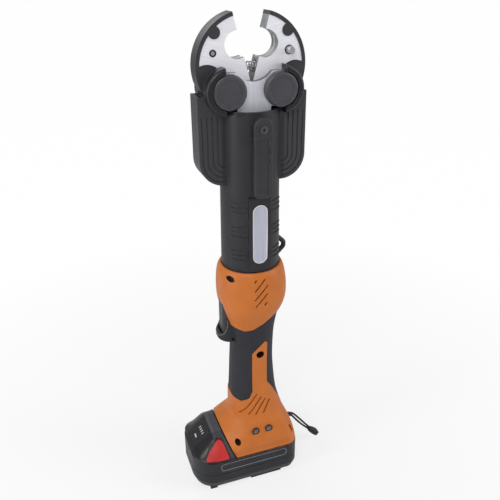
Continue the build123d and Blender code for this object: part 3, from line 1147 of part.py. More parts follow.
def jaw_face():
    """Front view of the right jaw, closed."""
    arc_z = PIVOT_Z + JAW_ARC_RISE
    top = arc_z + JAW_ARC_R + 1
    tail_end = PIVOT_Z - TAIL_END_DROP
    clip = polygon(((JAW_MEET, PIVOT_Z), (JAW_MEET, top), (2 * TAIL_OUT, top), (2 * TAIL_OUT, arc_z),
                    (JAW_ARC_R, arc_z), (TAIL_OUT, PIVOT_Z)))
    upper = disc(JAW_ARC_R, 0, arc_z) & clip
    hub = disc(PIVOT_X - JAW_MEET, PIVOT_X, PIVOT_Z)
    hub &= rectangle((0, TAIL_OUT), (tail_end, PIVOT_Z + 1))
    low = cam_point(-0.2 * RAM_STROKE)
    middle = cam_point(0.45 * RAM_STROKE)
    high = cam_point(1.1 * RAM_STROKE)
    edges = [Line((TAIL_OUT, PIVOT_Z), (TAIL_OUT, tail_end + 8)),
             Line((TAIL_OUT, tail_end + 8), (TAIL_OUT - 5, tail_end)),
             Line((TAIL_OUT - 5, tail_end), (low.X, low.Y)),
             ThreePointArc((low.X, low.Y), (middle.X, middle.Y), (high.X, high.Y)),
             Line((high.X, high.Y), (PIVOT_X - 8, PIVOT_Z)),
             Line((PIVOT_X - 8, PIVOT_Z), (TAIL_OUT, PIVOT_Z))]
    tail = make_face(edges)
    head_top = PIVOT_Z - ROLLER_DROP + RAM_STROKE + RAM_HEAD_UP
    face = upper + (hub - rectangle((-BIG, RAM_HEAD_HALF + 1), (-BIG, head_top + 1))) + tail
    for step in range(ROLLER_STEPS + 1):
        place = roller_in_jaw(RAM_STROKE * (1 - 0.4 * step / ROLLER_STEPS))
        face -= disc(ROLLER_R + CLEAR, place.X, place.Y)
    nest = Pos(0, PIVOT_Z + NEST_RISE) * SlotCenterToCenter(2 * NEST_STRAIGHT, 2 * NEST_R)
    return face - nest


def mill_face():
    """The milled part of the jaw's side: inside the rim, above the hub and clear of the lug."""
    arc_z = PIVOT_Z + JAW_ARC_RISE
    face = jaw_face() & disc(JAW_ARC_R - MILL_RIM, 0, arc_z)
    face -= disc(MILL_LUG_R, MILL_LUG[0], PIVOT_Z + MILL_LUG[1])
    hub = disc(MILL_HUB_R, PIVOT_X, PIVOT_Z) & rectangle((PIVOT_X, BIG), (-BIG, 2 * BIG))
    face -= hub
    face -= disc(MILL_SHOULDER_R, MILL_SHOULDER[0], PIVOT_Z + MILL_SHOULDER[1])
    return face & rectangle((0, BIG), (PIVOT_Z, 2 * BIG))


def make_jaws():
    half = JAW_THICK / 2
    nest_z = PIVOT_Z + NEST_RISE
    jaw = slab_xz(jaw_face(), -half, half)
    for low, high in ((-half, -half + MILL_DEPTH), (half - MILL_DEPTH, half)):
        jaw -= slab_xz(mill_face(), low, high)
    groove = Pos(0, nest_z) * SlotCenterToCenter(2 * NEST_STRAIGHT, 2 * (NEST_R + NEST_GROOVE_DEPTH))
    jaw -= slab_xz(groove, -NEST_GROOVE / 2, NEST_GROOVE / 2)
    jaw -= rod_y(PIVOT_R + RUN_FIT, -half, half, PIVOT_X, PIVOT_Z)
    jaw -= rod_y(DIE_PIN_R + RUN_FIT, -half, half, DIE_PIN_X, nest_z)
    jaw -= rod_x(SPRING_POCKET_R, 0, JAW_MEET + SPRING_POCKET, 0, PIVOT_Z + SPRING_RISE)
    pin_flush = half - MILL_DEPTH
    right_pin = rod_y(DIE_PIN_R, -half - DIE_PIN_PROUD, pin_flush, DIE_PIN_X, nest_z)
    right_pin = chamfer(right_pin.edges().group_by(Axis.Y)[0], 0.5)
    left_pin = mirror(mirror(right_pin, Plane.YZ), Plane.XZ)
    right_axis = Axis((PIVOT_X, 0, PIVOT_Z), (0, 1, 0))
    left_axis = Axis((-PIVOT_X, 0, PIVOT_Z), (0, 1, 0))
    save(jaw.rotate(right_axis, JAW_OPEN), "right_jaw")
    save(mirror(jaw, Plane.YZ).rotate(left_axis, -JAW_OPEN), "left_jaw")
    save(right_pin.rotate(right_axis, JAW_OPEN), "right_die_pin")
    save(left_pin.rotate(left_axis, -JAW_OPEN), "left_die_pin")
    save(jaw_spring(), "jaw_spring")


def jaw_spring():
    """Bent coil spring whose ends lie in the pockets of the open jaws."""
    open_turn = math.radians(JAW_OPEN)
    mouth_x = JAW_MEET - PIVOT_X
    mouth = (PIVOT_X + mouth_x * math.cos(open_turn) + SPRING_RISE * math.sin(open_turn),
             PIVOT_Z - mouth_x * math.sin(open_turn) + SPRING_RISE * math.cos(open_turn))
    bend = mouth[0] / math.sin(open_turn)
    middle_z = mouth[1] - bend * math.cos(open_turn)
    reach = open_turn + (SPRING_POCKET - SPRING_WIRE_R - CLEAR) / (bend + SPRING_COIL_R)

    def place(t):
        along = -reach + 2 * reach * t / SPRING_TURNS
        angle = 2 * math.pi * t
        radius = bend + SPRING_COIL_R * math.sin(angle)
        return Vector(radius * math.sin(along), SPRING_COIL_R * math.cos(angle),
                      middle_z + radius * math.cos(along))

    def way(t):
        small = 0.0005
        return (place(t + small) - place(t - small)).normalized()

    return coil(place, way, SPRING_TURNS, SPRING_WIRE_R, "jaw spring")


# Wrist strap

def make_strap():
    points = [(x, 0, z) for x, z in STRAP_ROUTE]
    ways = [Vector(*b) - Vector(*a) for a, b in zip(points, points[1:])]
    radii = []
    for first, second in zip(ways, ways[1:]):
        turn = math.radians(first.get_angle(second))
        radii.append(STRAP_BEND * min(first.length, second.length) / math.tan(turn / 2))
    print("strap bend radii:", ", ".join("%.1f" % radius for radius in radii))
    path = FilletPolyline(*points, radius=radii)
    section = Plane(origin=path @ 0, z_dir=path % 0) * Circle(STRAP_R)
    strap = sweep(section, path=path)
    print("strap length %.1f mm, volume over section times length %.4f"
          % (path.length, strap.volume / (math.pi * STRAP_R ** 2 * path.length)))
    save(strap, "wrist_strap")
    start = Vector(*points[-1])
    end = Vector(STRAP_TAB_END[0], 0, STRAP_TAB_END[1])
    tab_plane = Plane(origin=start, z_dir=path % 1)
    end_plane = Plane(origin=end, z_dir=end - start)
    tab = loft([tab_plane * Circle(STRAP_R), end_plane * Circle(STRAP_TAB_R)])
    save(tab, "strap_tab")


make_battery()
make_housing()
make_handle_inside()
make_trigger()
make_barrel()
make_lever()
make_hydraulics()
make_ram()
make_jaws()
make_strap()
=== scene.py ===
# Looks of the battery crimping tool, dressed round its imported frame. Metres, +Z up the tool axis.

import math

import bmesh
import bpy
from mathutils import Matrix, Vector


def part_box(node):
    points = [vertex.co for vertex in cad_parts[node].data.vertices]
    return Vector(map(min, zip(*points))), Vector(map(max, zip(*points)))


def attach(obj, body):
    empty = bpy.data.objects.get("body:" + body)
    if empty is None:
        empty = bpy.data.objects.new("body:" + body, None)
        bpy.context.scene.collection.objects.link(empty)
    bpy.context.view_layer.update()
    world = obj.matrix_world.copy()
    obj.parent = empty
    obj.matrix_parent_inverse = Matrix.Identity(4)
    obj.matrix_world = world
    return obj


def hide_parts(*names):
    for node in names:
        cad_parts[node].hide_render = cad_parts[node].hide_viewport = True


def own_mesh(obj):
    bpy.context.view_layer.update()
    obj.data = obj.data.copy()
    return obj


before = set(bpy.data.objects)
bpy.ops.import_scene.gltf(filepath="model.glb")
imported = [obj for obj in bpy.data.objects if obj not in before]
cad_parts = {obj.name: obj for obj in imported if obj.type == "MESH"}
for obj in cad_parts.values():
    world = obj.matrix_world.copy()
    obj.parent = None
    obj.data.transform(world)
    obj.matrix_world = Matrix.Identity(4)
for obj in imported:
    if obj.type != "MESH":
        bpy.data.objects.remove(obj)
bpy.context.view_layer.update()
MM = 0.001

# Half the width over which painted zones blend into each other
PAINT_EDGE = 0.2 * MM

# Radius of edges rounded in the shading, and heights of grain and tool marks
SOFT_EDGE = 0.4 * MM
METAL_EDGE = 0.3 * MM
GRAIN_HEIGHT = 0.06 * MM
BRUSH_HEIGHT = 0.04 * MM

# Wear and tool marks: cosines of the turn at which an edge is rubbed and painted lighter as a highlight,
# patches that break the wear up, how marks are drawn out along X and how far the gloss of metal varies
RUB_AND_HIGHLIGHT_TURN = (0.985, 0.86)
RUB_AND_HIGHLIGHT_PATCH_SCALE = 260.0
RUB_AND_HIGHLIGHT_PATCHES = (0.38, 0.62)
BRUSH_STRETCH = (0.04, 1.0, 1.0)
METAL_GLOSS = (-0.06, 0.08)

# Cosines over which the colour blends from the walls, painted darker as shade, to the faces that look along
# Y
SIDE_BLEND = (0.4, 0.6)

# Edges that turn by more than an angle are eased, and a cosine past which a face or an edge lies along Y
EASE_ANGLE = math.radians(35)
ALONG_Y = 0.9

# Rings: eased edges and number of sides
RING_EASE = 0.25 * MM
RING_SIDES = 56

# Springs: radius of the wire, turns and points in each turn, and the bent coil between the jaws
COIL_STEPS = 16
RETURN_WIRE = 0.9 * MM
RETURN_TURNS = 7
JAW_SPRING_WIRE = 0.6 * MM
JAW_SPRING_TURNS = 7
JAW_SPRING_COIL = 3.4 * MM
JAW_SPRING_BEND = 15.7 * MM
JAW_SPRING_REACH = 0.56

# Boxes of the CAD solids that pieces and paint are placed by
PACK_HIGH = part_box("battery_cover")[1]
FOOT_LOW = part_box("housing_near")[0]
LIGHTS_LOW, LIGHTS_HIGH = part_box("indicator_lights")
LIGHT_R = (LIGHTS_HIGH.z - LIGHTS_LOW.z) / 2
LIGHT_X = (LIGHTS_LOW.x + LIGHT_R, LIGHTS_HIGH.x - LIGHT_R)
LIGHT_Z = LIGHTS_LOW.z + LIGHT_R
PLATE_LOW, PLATE_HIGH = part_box("rating_plate")
JAW_SPRING_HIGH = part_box("jaw_spring")[1]
RETURN_LOW, RETURN_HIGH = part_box("return_spring")
SCREW_LOW, SCREW_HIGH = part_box("lever_screw")
PIVOT_LOW, PIVOT_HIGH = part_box("pivot_pins")
PIVOT_Z = (PIVOT_LOW.z + PIVOT_HIGH.z) / 2

# Jaws, seen along Y
PIVOT_X = 22.7 * MM
JAW_OPEN = math.radians(15.5)
JAW_ARC_R = 43.6 * MM
JAW_ARC_RISE = 13.0 * MM
JAW_RIM = 3.2 * MM
JAW_RIM_FACE = 7.7 * MM
JAW_MILLED_FACE = 7.4 * MM
JAW_ARC_PAINT = (0.4 * MM, 0.9 * MM)
JAW_FACE_BLEND = 0.05 * MM
JAW_BARE_FROM = (4.0 * MM, 2.0 * MM)

# Dark rings of the die pins, the right one a painted shadow round the pin's base: pin, body that carries
# the ring, inner and outer radius
PIN_RINGS = (("left_die_pin", "left_die_pin", 1.6 * MM, 2.9 * MM),
             ("right_die_pin", "right_jaw", 3.15 * MM, 3.9 * MM))
PIN_RING_DEPTH = 0.5 * MM
PIN_RING_RISE = 0.1 * MM

# Guard round the jaws: where its wings start beside the barrel, and the collars round the pivots
WING_START = (27.5 * MM, 29.5 * MM)
WING_HALF = 11.4 * MM
COLLAR_R = 20.3 * MM

# Camera, as the photograph was taken
CAMERA_AZIMUTH = math.radians(-19.5)
CAMERA_PITCH = math.radians(25.7)
CAMERA_ROLL = math.radians(-0.4)
CAMERA_REACH = 0.509
CAMERA_HEIGHT = 0.5054
CAMERA_LENS = 42.48
SENSOR = 36.0

# Wrist strap: the cord's route behind the foot as X and Z in mm, its strands, sleeve and tab
STRAP_ROUTE = ((38.8, 48.4), (43.6, 47.5), (48.6, 43.6), (54.0, 35.8), (59.8, 28.2), (66.0, 21.2),
               (72.4, 15.2))
STRAP_TAB_END = (82.0, 7.2)
STRAND_R = 1.1 * MM
STRAND_SPLIT = 3.4 * MM
STRAND_SIDE = (0.75, 0.0, 0.66)
STRAND_SHIFTS = (0.2, 0.4, 0.8, 1.0, 1.0, 0.8, 0.5)
SLEEVE_R = 2.5 * MM
SLEEVE_STEPS = 12
SLEEVE_TAPER = 0.22
SLEEVE_GROOVE = 0.86
STRAP_TAB_SIZE = (8.0 * MM, 5.8 * MM)
STRAP_TAB_LAP = 3.0 * MM
STRAP_TAB_NECK = ((-0.2, 0.86), (-0.45, 0.62))

# Battery pack: the deck under the handle, the brow of its front block and the bare label panels
DECK_Z = 38.0 * MM
BLOCK_RISE = 3.2 * MM
BROW_X = -49.5 * MM
LABEL_X = (-46.5 * MM, 27.0 * MM)
LABEL_Z = (26.3 * MM, 35.3 * MM)
LABEL_THICK = 0.5 * MM
LABEL_CORNER = 3.2 * MM
# Pale border of each label: a painted highlight along its edge
LABEL_HIGHLIGHT_BORDER = 0.6 * MM
LABEL_SINK = 0.12 * MM
LABEL_BED = 0.15 * MM

# Latch buttons seen along Y: corners as X and rise over the deck in mm, clockwise, and the shadow line
# inside their edge
LATCH_CORNERS = ((-63.4, 1.2), (-55.2, 13.2), (-47.0, 20.3), (-41.0, 19.5), (-35.5, 1.2))
LATCH_LINE = (0.8 * MM, 0.5 * MM)
LATCH_CORNER = 5.0 * MM

# Charge gauge: the middle and slope of its face, its marks and a long one on the button. Marks are in mm
# along the face
GAUGE_X = -60.0 * MM
GAUGE_RISE = 14.1 * MM
GAUGE_SLOPE = (21.0, 17.4)
MARK_COUNT = 4
MARK_FIRST = -5.1
MARK_STEP = 3.4
MARK_RISE = 3.6
MARK_SIZE = (1.2, 0.3, 3.0)
BUTTON_MARK_RISE = -5.0
BUTTON_MARK_SIZE = (5.6, 0.3, 1.4)
MARK_CORNER = 0.3 * MM
MARK_PROUD = 0.08 * MM

# Screw holes of the handle, near side: X, Z and radius in mm, and the edge of the shade painted in them;
# then the height of the shadow painted along the joint at the foot
HOLES = ((2.9, 152.2, 4.1), (-26.2, 56.0, 2.9), (-26.3, 243.4, 2.7))
HOLE_SHADE_EDGE = (0.25, 0.05)
HOLE_SIDE_Y = -2.2 * MM
FOOT_GAP_SHADE = 0.9 * MM

# Lights in the foot: bezels, and the dark spot in each lens
BEZEL_INNER = 2.3 * MM
BEZEL_OUTER = 4.2 * MM
BEZEL_DEPTH = 1.8 * MM
BEZEL_SET = 0.4 * MM
LENS_SPOT = (1.0 * MM, 0.7 * MM)

# Lever washer, with its bore as a share of the screw's radius, and the bead round the rating plate
WASHER_BORE = 0.62
WASHER_LAP = 0.2 * MM
WASHER_DEPTH = 0.7 * MM
BEAD_R = 0.5 * MM
BEAD_INSET = 0.4 * MM
BEAD_STEPS = 32

# Trigger cup: its rim on one side, from the top of the cheek to the nose; the pale bead along it is a
# painted highlight
CUP_FRONT = -35.6 * MM
CUP_HALF = 11.5 * MM
CUP_CORNER = 9.0 * MM
CUP_FLOOR = 172.0 * MM
CUP_RIM = ((-27.9, 21.5), (-27.5, 18.5), (-27.7, 15.2), (-28.6, 12.0), (-29.9, 8.8), (-31.5, 6.2),
           (-33.5, 4.4), (-35.0, 2.9), (-35.6, 2.5))
CUP_HIGHLIGHT_R = 0.4 * MM

# Colours of the painted zones
NOSE_BLACK = (0.009, 0.009, 0.011)
BAND_GREY = (0.043, 0.047, 0.056)
WING_GREY = (0.042, 0.042, 0.049)
COLLAR_BLACK = (0.015, 0.015, 0.018)
LENS_DARK = (0.05, 0.045, 0.04)
# Painted shade in the screw holes and along the joint above the battery
HOLE_AND_GAP_SHADE = (0.03, 0.012, 0.006)
LATCH_SHADE = (0.03, 0.008, 0.008)
NOSE_GLOSS = -0.22
COLLAR_GLOSS = -0.16

# Jaw steel: milled face, its walls painted darker as shade, forged skin and edges rubbed and painted
# lighter as a highlight, and how they take the light
FACE_DARK, FACE_PALE = (0.84, 0.84, 0.9), (0.91, 0.91, 0.96)
WALL_SHADE_DARK, WALL_SHADE_PALE = (0.17, 0.18, 0.18), (0.34, 0.35, 0.35)
SKIN_DARK, SKIN_PALE = (0.016, 0.016, 0.02), (0.028, 0.028, 0.033)
SKIN_RUBBED_AND_LIT = (0.12, 0.12, 0.14)
SKIN_ROUGH = 0.45
SKIN_GRAIN_SCALE = 900.0
FACE_SMOOTHER = -0.1
FACE_METAL = 0.3
FACE_MARKS = 0.08
FACE_MARK_SCALE = 1100.0
JAW_GLOSS = 0.08

# Stage: floor, daylight and lamps, each with its place, size and power
FLOOR_SIZE = 60.0
FLOOR_GREY = (0.9, 0.9, 0.9, 1.0)
FLOOR_FADE = (0.1, 0.6)
FLOOR_PALE = (0.72, 0.99)
DAYLIGHT = 0.27
MIRRORED_LIGHT = 0.6
LAMP_AIM = (0.0, 0.0, 0.25)
LAMPS = (("key_softbox", (-0.7, -1.1, 1.3), (0.8, 0.8), 10.5),
         ("left_strip", (-1.25, -0.25, 0.6), (0.35, 1.4), 7.0),
         ("right_softbox", (1.15, -0.6, 0.8), (0.5, 1.3), 8.0),
         ("back_softbox", (-0.3, 1.2, 1.2), (1.0, 1.0), 5.0))


# Shader building blocks

def link(tree, source, target):
    tree.links.new(source, target)


def new_group(name, inputs, outputs):
    """Shader group with float inputs and named outputs of the given socket kinds."""
    group = bpy.data.node_groups.new(name, "ShaderNodeTree")
    for label, value in inputs:
        socket = group.interface.new_socket(label, in_out="INPUT", socket_type="NodeSocketFloat")
        socket.default_value = value
    for label, kind in outputs:
        group.interface.new_socket(label, in_out="OUTPUT", socket_type=kind)
    return group, group.nodes.new("NodeGroupInput"), group.nodes.new("NodeGroupOutput")


def math_node(tree, operation, first, second=None, third=None, clamp=False):
    node = tree.nodes.new("ShaderNodeMath")
    node.operation = operation
    node.use_clamp = clamp
    for index, value in enumerate((first, second, third)):
        if value is None:
            continue
        if isinstance(value, (int, float)):
            node.inputs[index].default_value = value
        else:
            link(tree, value, node.inputs[index])
    return node.outputs[0]


def noise(tree, vector, scale, detail):
    node = tree.nodes.new("ShaderNodeTexNoise")
    node.inputs["Scale"].default_value = scale
    node.inputs["Detail"].default_value = detail
    link(tree, vector, node.inputs["Vector"])
    return node


def ramp(tree, value, low, high, out_low=0.0, out_high=1.0):
    node = tree.nodes.new("ShaderNodeMapRange")
    node.inputs["From Min"].default_value = low
    node.inputs["From Max"].default_value = high
    node.inputs["To Min"].default_value = out_low
    node.inputs["To Max"].default_value = out_high
    link(tree, value, node.inputs["Value"])
    return node.outputs["Result"]


def make_soft_edges():
    """Rounds hard edges in the shading, and marks edges that are rubbed and painted lighter as a highlight.
    """
    group, given, result = new_group("soft_edges", [("Radius", SOFT_EDGE)],
                                     [("Normal", "NodeSocketVector"), ("Rub_And_Highlight", "NodeSocketFloat")])
    bevel = group.nodes.new("ShaderNodeBevel")
    bevel.samples = 6
    link(group, given.outputs["Radius"], bevel.inputs["Radius"])
    geometry = group.nodes.new("ShaderNodeNewGeometry")
    turn = group.nodes.new("ShaderNodeVectorMath")
    turn.operation = "DOT_PRODUCT"
    link(group, bevel.outputs["Normal"], turn.inputs[0])
    link(group, geometry.outputs["Normal"], turn.inputs[1])
    edge = ramp(group, turn.outputs["Value"], *RUB_AND_HIGHLIGHT_TURN)
    place = group.nodes.new("ShaderNodeTexCoord")
    patches = noise(group, place.outputs["Object"], RUB_AND_HIGHLIGHT_PATCH_SCALE, 4.0)
    broken = ramp(group, patches.outputs["Fac"], *RUB_AND_HIGHLIGHT_PATCHES)
    link(group, bevel.outputs["Normal"], result.inputs["Normal"])
    link(group, math_node(group, "MULTIPLY", edge, broken, clamp=True), result.inputs["Rub_And_Highlight"])
    return group


def make_moulded_grain():
    """Fine sparked texture of a mould, with slow changes of shade and gloss."""
    group, given, result = new_group("moulded_grain", [("Scale", 1500.0), ("Patch Scale", 45.0)],
                                     [("Height", "NodeSocketFloat"), ("Patch", "NodeSocketFloat"),
                                      ("Fleck", "NodeSocketFloat")])
    place = group.nodes.new("ShaderNodeTexCoord")
    fine = group.nodes.new("ShaderNodeTexNoise")
    fine.inputs["Detail"].default_value = 3.0
    link(group, place.outputs["Object"], fine.inputs["Vector"])
    link(group, given.outputs["Scale"], fine.inputs["Scale"])
    cells = group.nodes.new("ShaderNodeTexVoronoi")
    cells.feature = "SMOOTH_F1"
    link(group, place.outputs["Object"], cells.inputs["Vector"])
    link(group, given.outputs["Scale"], cells.inputs["Scale"])
    height = math_node(group, "ADD", fine.outputs["Fac"], cells.outputs["Distance"])
    patch = group.nodes.new("ShaderNodeTexNoise")
    patch.inputs["Detail"].default_value = 5.0
    link(group, place.outputs["Object"], patch.inputs["Vector"])
    link(group, given.outputs["Patch Scale"], patch.inputs["Scale"])
    link(group, height, result.inputs["Height"])
    link(group, ramp(group, patch.outputs["Fac"], 0.3, 0.7), result.inputs["Patch"])
    link(group, ramp(group, fine.outputs["Fac"], 0.35, 0.65), result.inputs["Fleck"])
    return group


def make_brushing():
    """Fine parallel tool marks along X, with slow changes of gloss."""
    group, given, result = new_group("brushing", [("Turn", 0.0), ("Scale", 900.0)],
                                     [("Height", "NodeSocketFloat"), ("Streak", "NodeSocketFloat"),
                                      ("Patch", "NodeSocketFloat")])
    place = group.nodes.new("ShaderNodeTexCoord")
    spin = group.nodes.new("ShaderNodeVectorRotate")
    spin.rotation_type = "Y_AXIS"
    link(group, place.outputs["Object"], spin.inputs["Vector"])
    link(group, given.outputs["Turn"], spin.inputs["Angle"])
    stretch = group.nodes.new("ShaderNodeVectorMath")
    stretch.operation = "MULTIPLY"
    stretch.inputs[1].default_value = BRUSH_STRETCH
    link(group, spin.outputs["Vector"], stretch.inputs[0])
    lines = group.nodes.new("ShaderNodeTexNoise")
    lines.inputs["Detail"].default_value = 4.0
    link(group, stretch.outputs["Vector"], lines.inputs["Vector"])
    link(group, given.outputs["Scale"], lines.inputs["Scale"])
    patch = noise(group, place.outputs["Object"], 70.0, 4.0)
    link(group, lines.outputs["Fac"], result.inputs["Height"])
    link(group, ramp(group, lines.outputs["Fac"], 0.35, 0.65), result.inputs["Streak"])
    link(group, ramp(group, patch.outputs["Fac"], 0.35, 0.65), result.inputs["Patch"])
    return group


SOFT_EDGES = make_soft_edges()
MOULDED_GRAIN = make_moulded_grain()
BRUSHING = make_brushing()


def use_group(tree, group, **values):
    node = tree.nodes.new("ShaderNodeGroup")
    node.node_tree = group
    for label, value in values.items():
        node.inputs[label.replace("_", " ")].default_value = value
    return node


def blank_material(name):
    material = bpy.data.materials.new(name)
    material.use_nodes = True
    tree = material.node_tree
    return material, tree, tree.nodes["Principled BSDF"]


def mix_colour(tree, factor, first, second):
    """First colour where the factor is 0, second where it is 1. Either may be a socket."""
    node = tree.nodes.new("ShaderNodeMix")
    node.data_type = "RGBA"
    link(tree, factor, node.inputs["Factor"])
    for label, value in (("A", first), ("B", second)):
        socket = next(s for s in node.inputs if s.name == label and s.type == "RGBA")
        if isinstance(value, tuple):
            socket.default_value = (*value, 1.0)
        else:
            link(tree, value, socket)
    return next(s for s in node.outputs if s.type == "RGBA")


def bump(tree, height, strength, distance, normal):
    node = tree.nodes.new("ShaderNodeBump")
    node.inputs["Strength"].default_value = strength
    node.inputs["Distance"].default_value = distance
    link(tree, height, node.inputs["Height"])
    link(tree, normal, node.inputs["Normal"])
    return node.outputs["Normal"]


def moulded(name, colour, dark, rubbed_and_lit, roughness, grain_scale=1500.0, grain=0.25, edge=SOFT_EDGE,
            spread=0.1, specular=0.35, zones=None):
    """Moulded plastic or rubber: mottled colour, sparked grain, rubbed edges with a painted highlight,
    repainted zones.
    """
    material, tree, shader = blank_material(name)
    shader.inputs["Specular IOR Level"].default_value = specular
    grain_node = use_group(tree, MOULDED_GRAIN, Scale=grain_scale)
    edges = use_group(tree, SOFT_EDGES, Radius=edge)
    base = mix_colour(tree, grain_node.outputs["Patch"], dark, colour)
    gloss = ramp(tree, grain_node.outputs["Fleck"], 0.0, 1.0, roughness - spread, roughness + spread)
    if zones:
        base, gloss = zones(tree, base, gloss)
    # Edges painted lighter: wear, and a painted highlight along each edge
    worn_and_lit = mix_colour(tree, edges.outputs["Rub_And_Highlight"], base, rubbed_and_lit)
    link(tree, worn_and_lit, shader.inputs["Base Color"])
    link(tree, gloss, shader.inputs["Roughness"])
    link(tree, bump(tree, grain_node.outputs["Height"], grain, GRAIN_HEIGHT, edges.outputs["Normal"]),
         shader.inputs["Normal"])
    return material


def place_parts(tree):
    """Object coordinates, whole and as separate X, Y and Z."""
    place = tree.nodes.new("ShaderNodeTexCoord").outputs["Object"]
    split = tree.nodes.new("ShaderNodeSeparateXYZ")
    link(tree, place, split.inputs[0])
    return place, split.outputs


def far_from(tree, place, x, z):
    """Distance from a line along Y through x and z."""
    flat = tree.nodes.new("ShaderNodeVectorMath")
    flat.operation = "MULTIPLY"
    flat.inputs[1].default_value = (1.0, 0.0, 1.0)
    link(tree, place, flat.inputs[0])
    gap = tree.nodes.new("ShaderNodeVectorMath")
    gap.operation = "DISTANCE"
    gap.inputs[1].default_value = (x, 0.0, z)
    link(tree, flat.outputs["Vector"], gap.inputs[0])
    return gap.outputs["Value"]


def pack_zones(tree, base, gloss):
    """Black glossy panel over the nose of the pack, and a paler band behind its brow."""
    parts = place_parts(tree)[1]
    block_low = DECK_Z + BLOCK_RISE
    raised = ramp(tree, parts["Z"], block_low - PAINT_EDGE, block_low + PAINT_EDGE)
    ahead = ramp(tree, parts["X"], BROW_X + PAINT_EDGE, BROW_X - PAINT_EDGE)
    nose = math_node(tree, "MULTIPLY", raised, ahead)
    band = math_node(tree, "SUBTRACT", raised, nose, clamp=True)
    base = mix_colour(tree, nose, base, NOSE_BLACK)
    base = mix_colour(tree, band, base, BAND_GREY)
    return base, math_node(tree, "ADD", gloss, math_node(tree, "MULTIPLY", nose, NOSE_GLOSS))


def wing_zones(tree, base, gloss):
    """Paler wings beside the barrel, and dark glossy collars round the pivots."""
    place, parts = place_parts(tree)
    beside = ramp(tree, math_node(tree, "ABSOLUTE", parts["X"]), *WING_START)
    thin = ramp(tree, math_node(tree, "ABSOLUTE", parts["Y"]), WING_HALF + PAINT_EDGE,
                WING_HALF - PAINT_EDGE)
    wing = math_node(tree, "MULTIPLY", beside, thin)
    first = far_from(tree, place, -PIVOT_X, PIVOT_Z)
    second = far_from(tree, place, PIVOT_X, PIVOT_Z)
    round_pivot = ramp(tree, math_node(tree, "MINIMUM", first, second), COLLAR_R + PAINT_EDGE / 2,
                       COLLAR_R - PAINT_EDGE / 2)
    collar = math_node(tree, "SUBTRACT", round_pivot, wing, clamp=True)
    base = mix_colour(tree, wing, base, WING_GREY)
    base = mix_colour(tree, collar, base, COLLAR_BLACK)
    return base, math_node(tree, "ADD", gloss, math_node(tree, "MULTIPLY", collar, COLLAR_GLOSS))


def lens_zones(tree, base, gloss):
    """Dark spot in the middle of each light."""
    place = place_parts(tree)[0]
    first, second = (far_from(tree, place, x, LIGHT_Z) for x in LIGHT_X)
    spot = ramp(tree, math_node(tree, "MINIMUM", first, second), *LENS_SPOT)
    return mix_colour(tree, spot, base, LENS_DARK), gloss


def orange_zones(tree, base, gloss):
    """Painted shade in the screw holes on the near side, and a painted shadow along the joint above the
    battery.
    """
    place, parts = place_parts(tree)
    near = ramp(tree, parts["Y"], HOLE_SIDE_Y + PAINT_EDGE, HOLE_SIDE_Y - PAINT_EDGE)
    # Painted shadow of the gap where the housing meets the battery
    gap_shade_top = FOOT_LOW.z + FOOT_GAP_SHADE
    shade = ramp(tree, parts["Z"], gap_shade_top + PAINT_EDGE, gap_shade_top - PAINT_EDGE)
    # Screw holes painted dark, as the shade inside them
    for x, z, radius in HOLES:
        outer, inner = ((radius + edge) * MM for edge in HOLE_SHADE_EDGE)
        hole_shade = ramp(tree, far_from(tree, place, x * MM, z * MM), outer, inner)
        shade = math_node(tree, "MAXIMUM", shade, math_node(tree, "MULTIPLY", hole_shade, near))
    return mix_colour(tree, shade, base, HOLE_AND_GAP_SHADE), gloss


def latch_zones(tree, base, gloss):
    """Dark shadow line round the edge of a latch button."""
    place = place_parts(tree)[0]
    inset = None
    for (x, rise), (next_x, next_rise) in zip(LATCH_CORNERS, LATCH_CORNERS[1:] + LATCH_CORNERS[:1]):
        run = Vector((next_x - x, 0.0, next_rise - rise)).normalized()
        inward = Vector((run.z, 0.0, -run.x))
        start = Vector((x * MM, 0.0, DECK_Z + rise * MM))
        reach = tree.nodes.new("ShaderNodeVectorMath")
        reach.operation = "DOT_PRODUCT"
        reach.inputs[1].default_value = inward
        link(tree, place, reach.inputs[0])
        depth = math_node(tree, "SUBTRACT", reach.outputs["Value"], inward.dot(start))
        inset = depth if inset is None else math_node(tree, "SMOOTH_MIN", inset, depth, LATCH_CORNER)
    return mix_colour(tree, ramp(tree, inset, *LATCH_LINE), base, LATCH_SHADE), gloss


def facing_sides(tree):
    """1 on faces that look along Y, 0 on the walls between them."""
    normal = tree.nodes.new("ShaderNodeSeparateXYZ")
    link(tree, tree.nodes.new("ShaderNodeNewGeometry").outputs["Normal"], normal.inputs[0])
    return ramp(tree, math_node(tree, "ABSOLUTE", normal.outputs["Y"]), *SIDE_BLEND)


def machined(name, colour, dark, roughness, turn=0.0, metallic=1.0, grain=0.12, edge=METAL_EDGE, wall_shade=None):
    """Machined or drawn metal: fine tool marks, patches of gloss and, where given, walls painted darker as
    shade.
    """
    material, tree, shader = blank_material(name)
    marks = use_group(tree, BRUSHING, Turn=turn)
    edges = use_group(tree, SOFT_EDGES, Radius=edge)
    base = mix_colour(tree, marks.outputs["Streak"], dark, colour)
    # Walls painted darker than the faces, as shade
    if wall_shade:
        base = mix_colour(tree, facing_sides(tree), wall_shade, base)
    link(tree, base, shader.inputs["Base Color"])
    gloss = ramp(tree, marks.outputs["Patch"], 0.0, 1.0, *(roughness + change for change in METAL_GLOSS))
    link(tree, gloss, shader.inputs["Roughness"])
    shader.inputs["Metallic"].default_value = metallic
    link(tree, bump(tree, marks.outputs["Height"], grain, BRUSH_HEIGHT, edges.outputs["Normal"]),
         shader.inputs["Normal"])
    return material


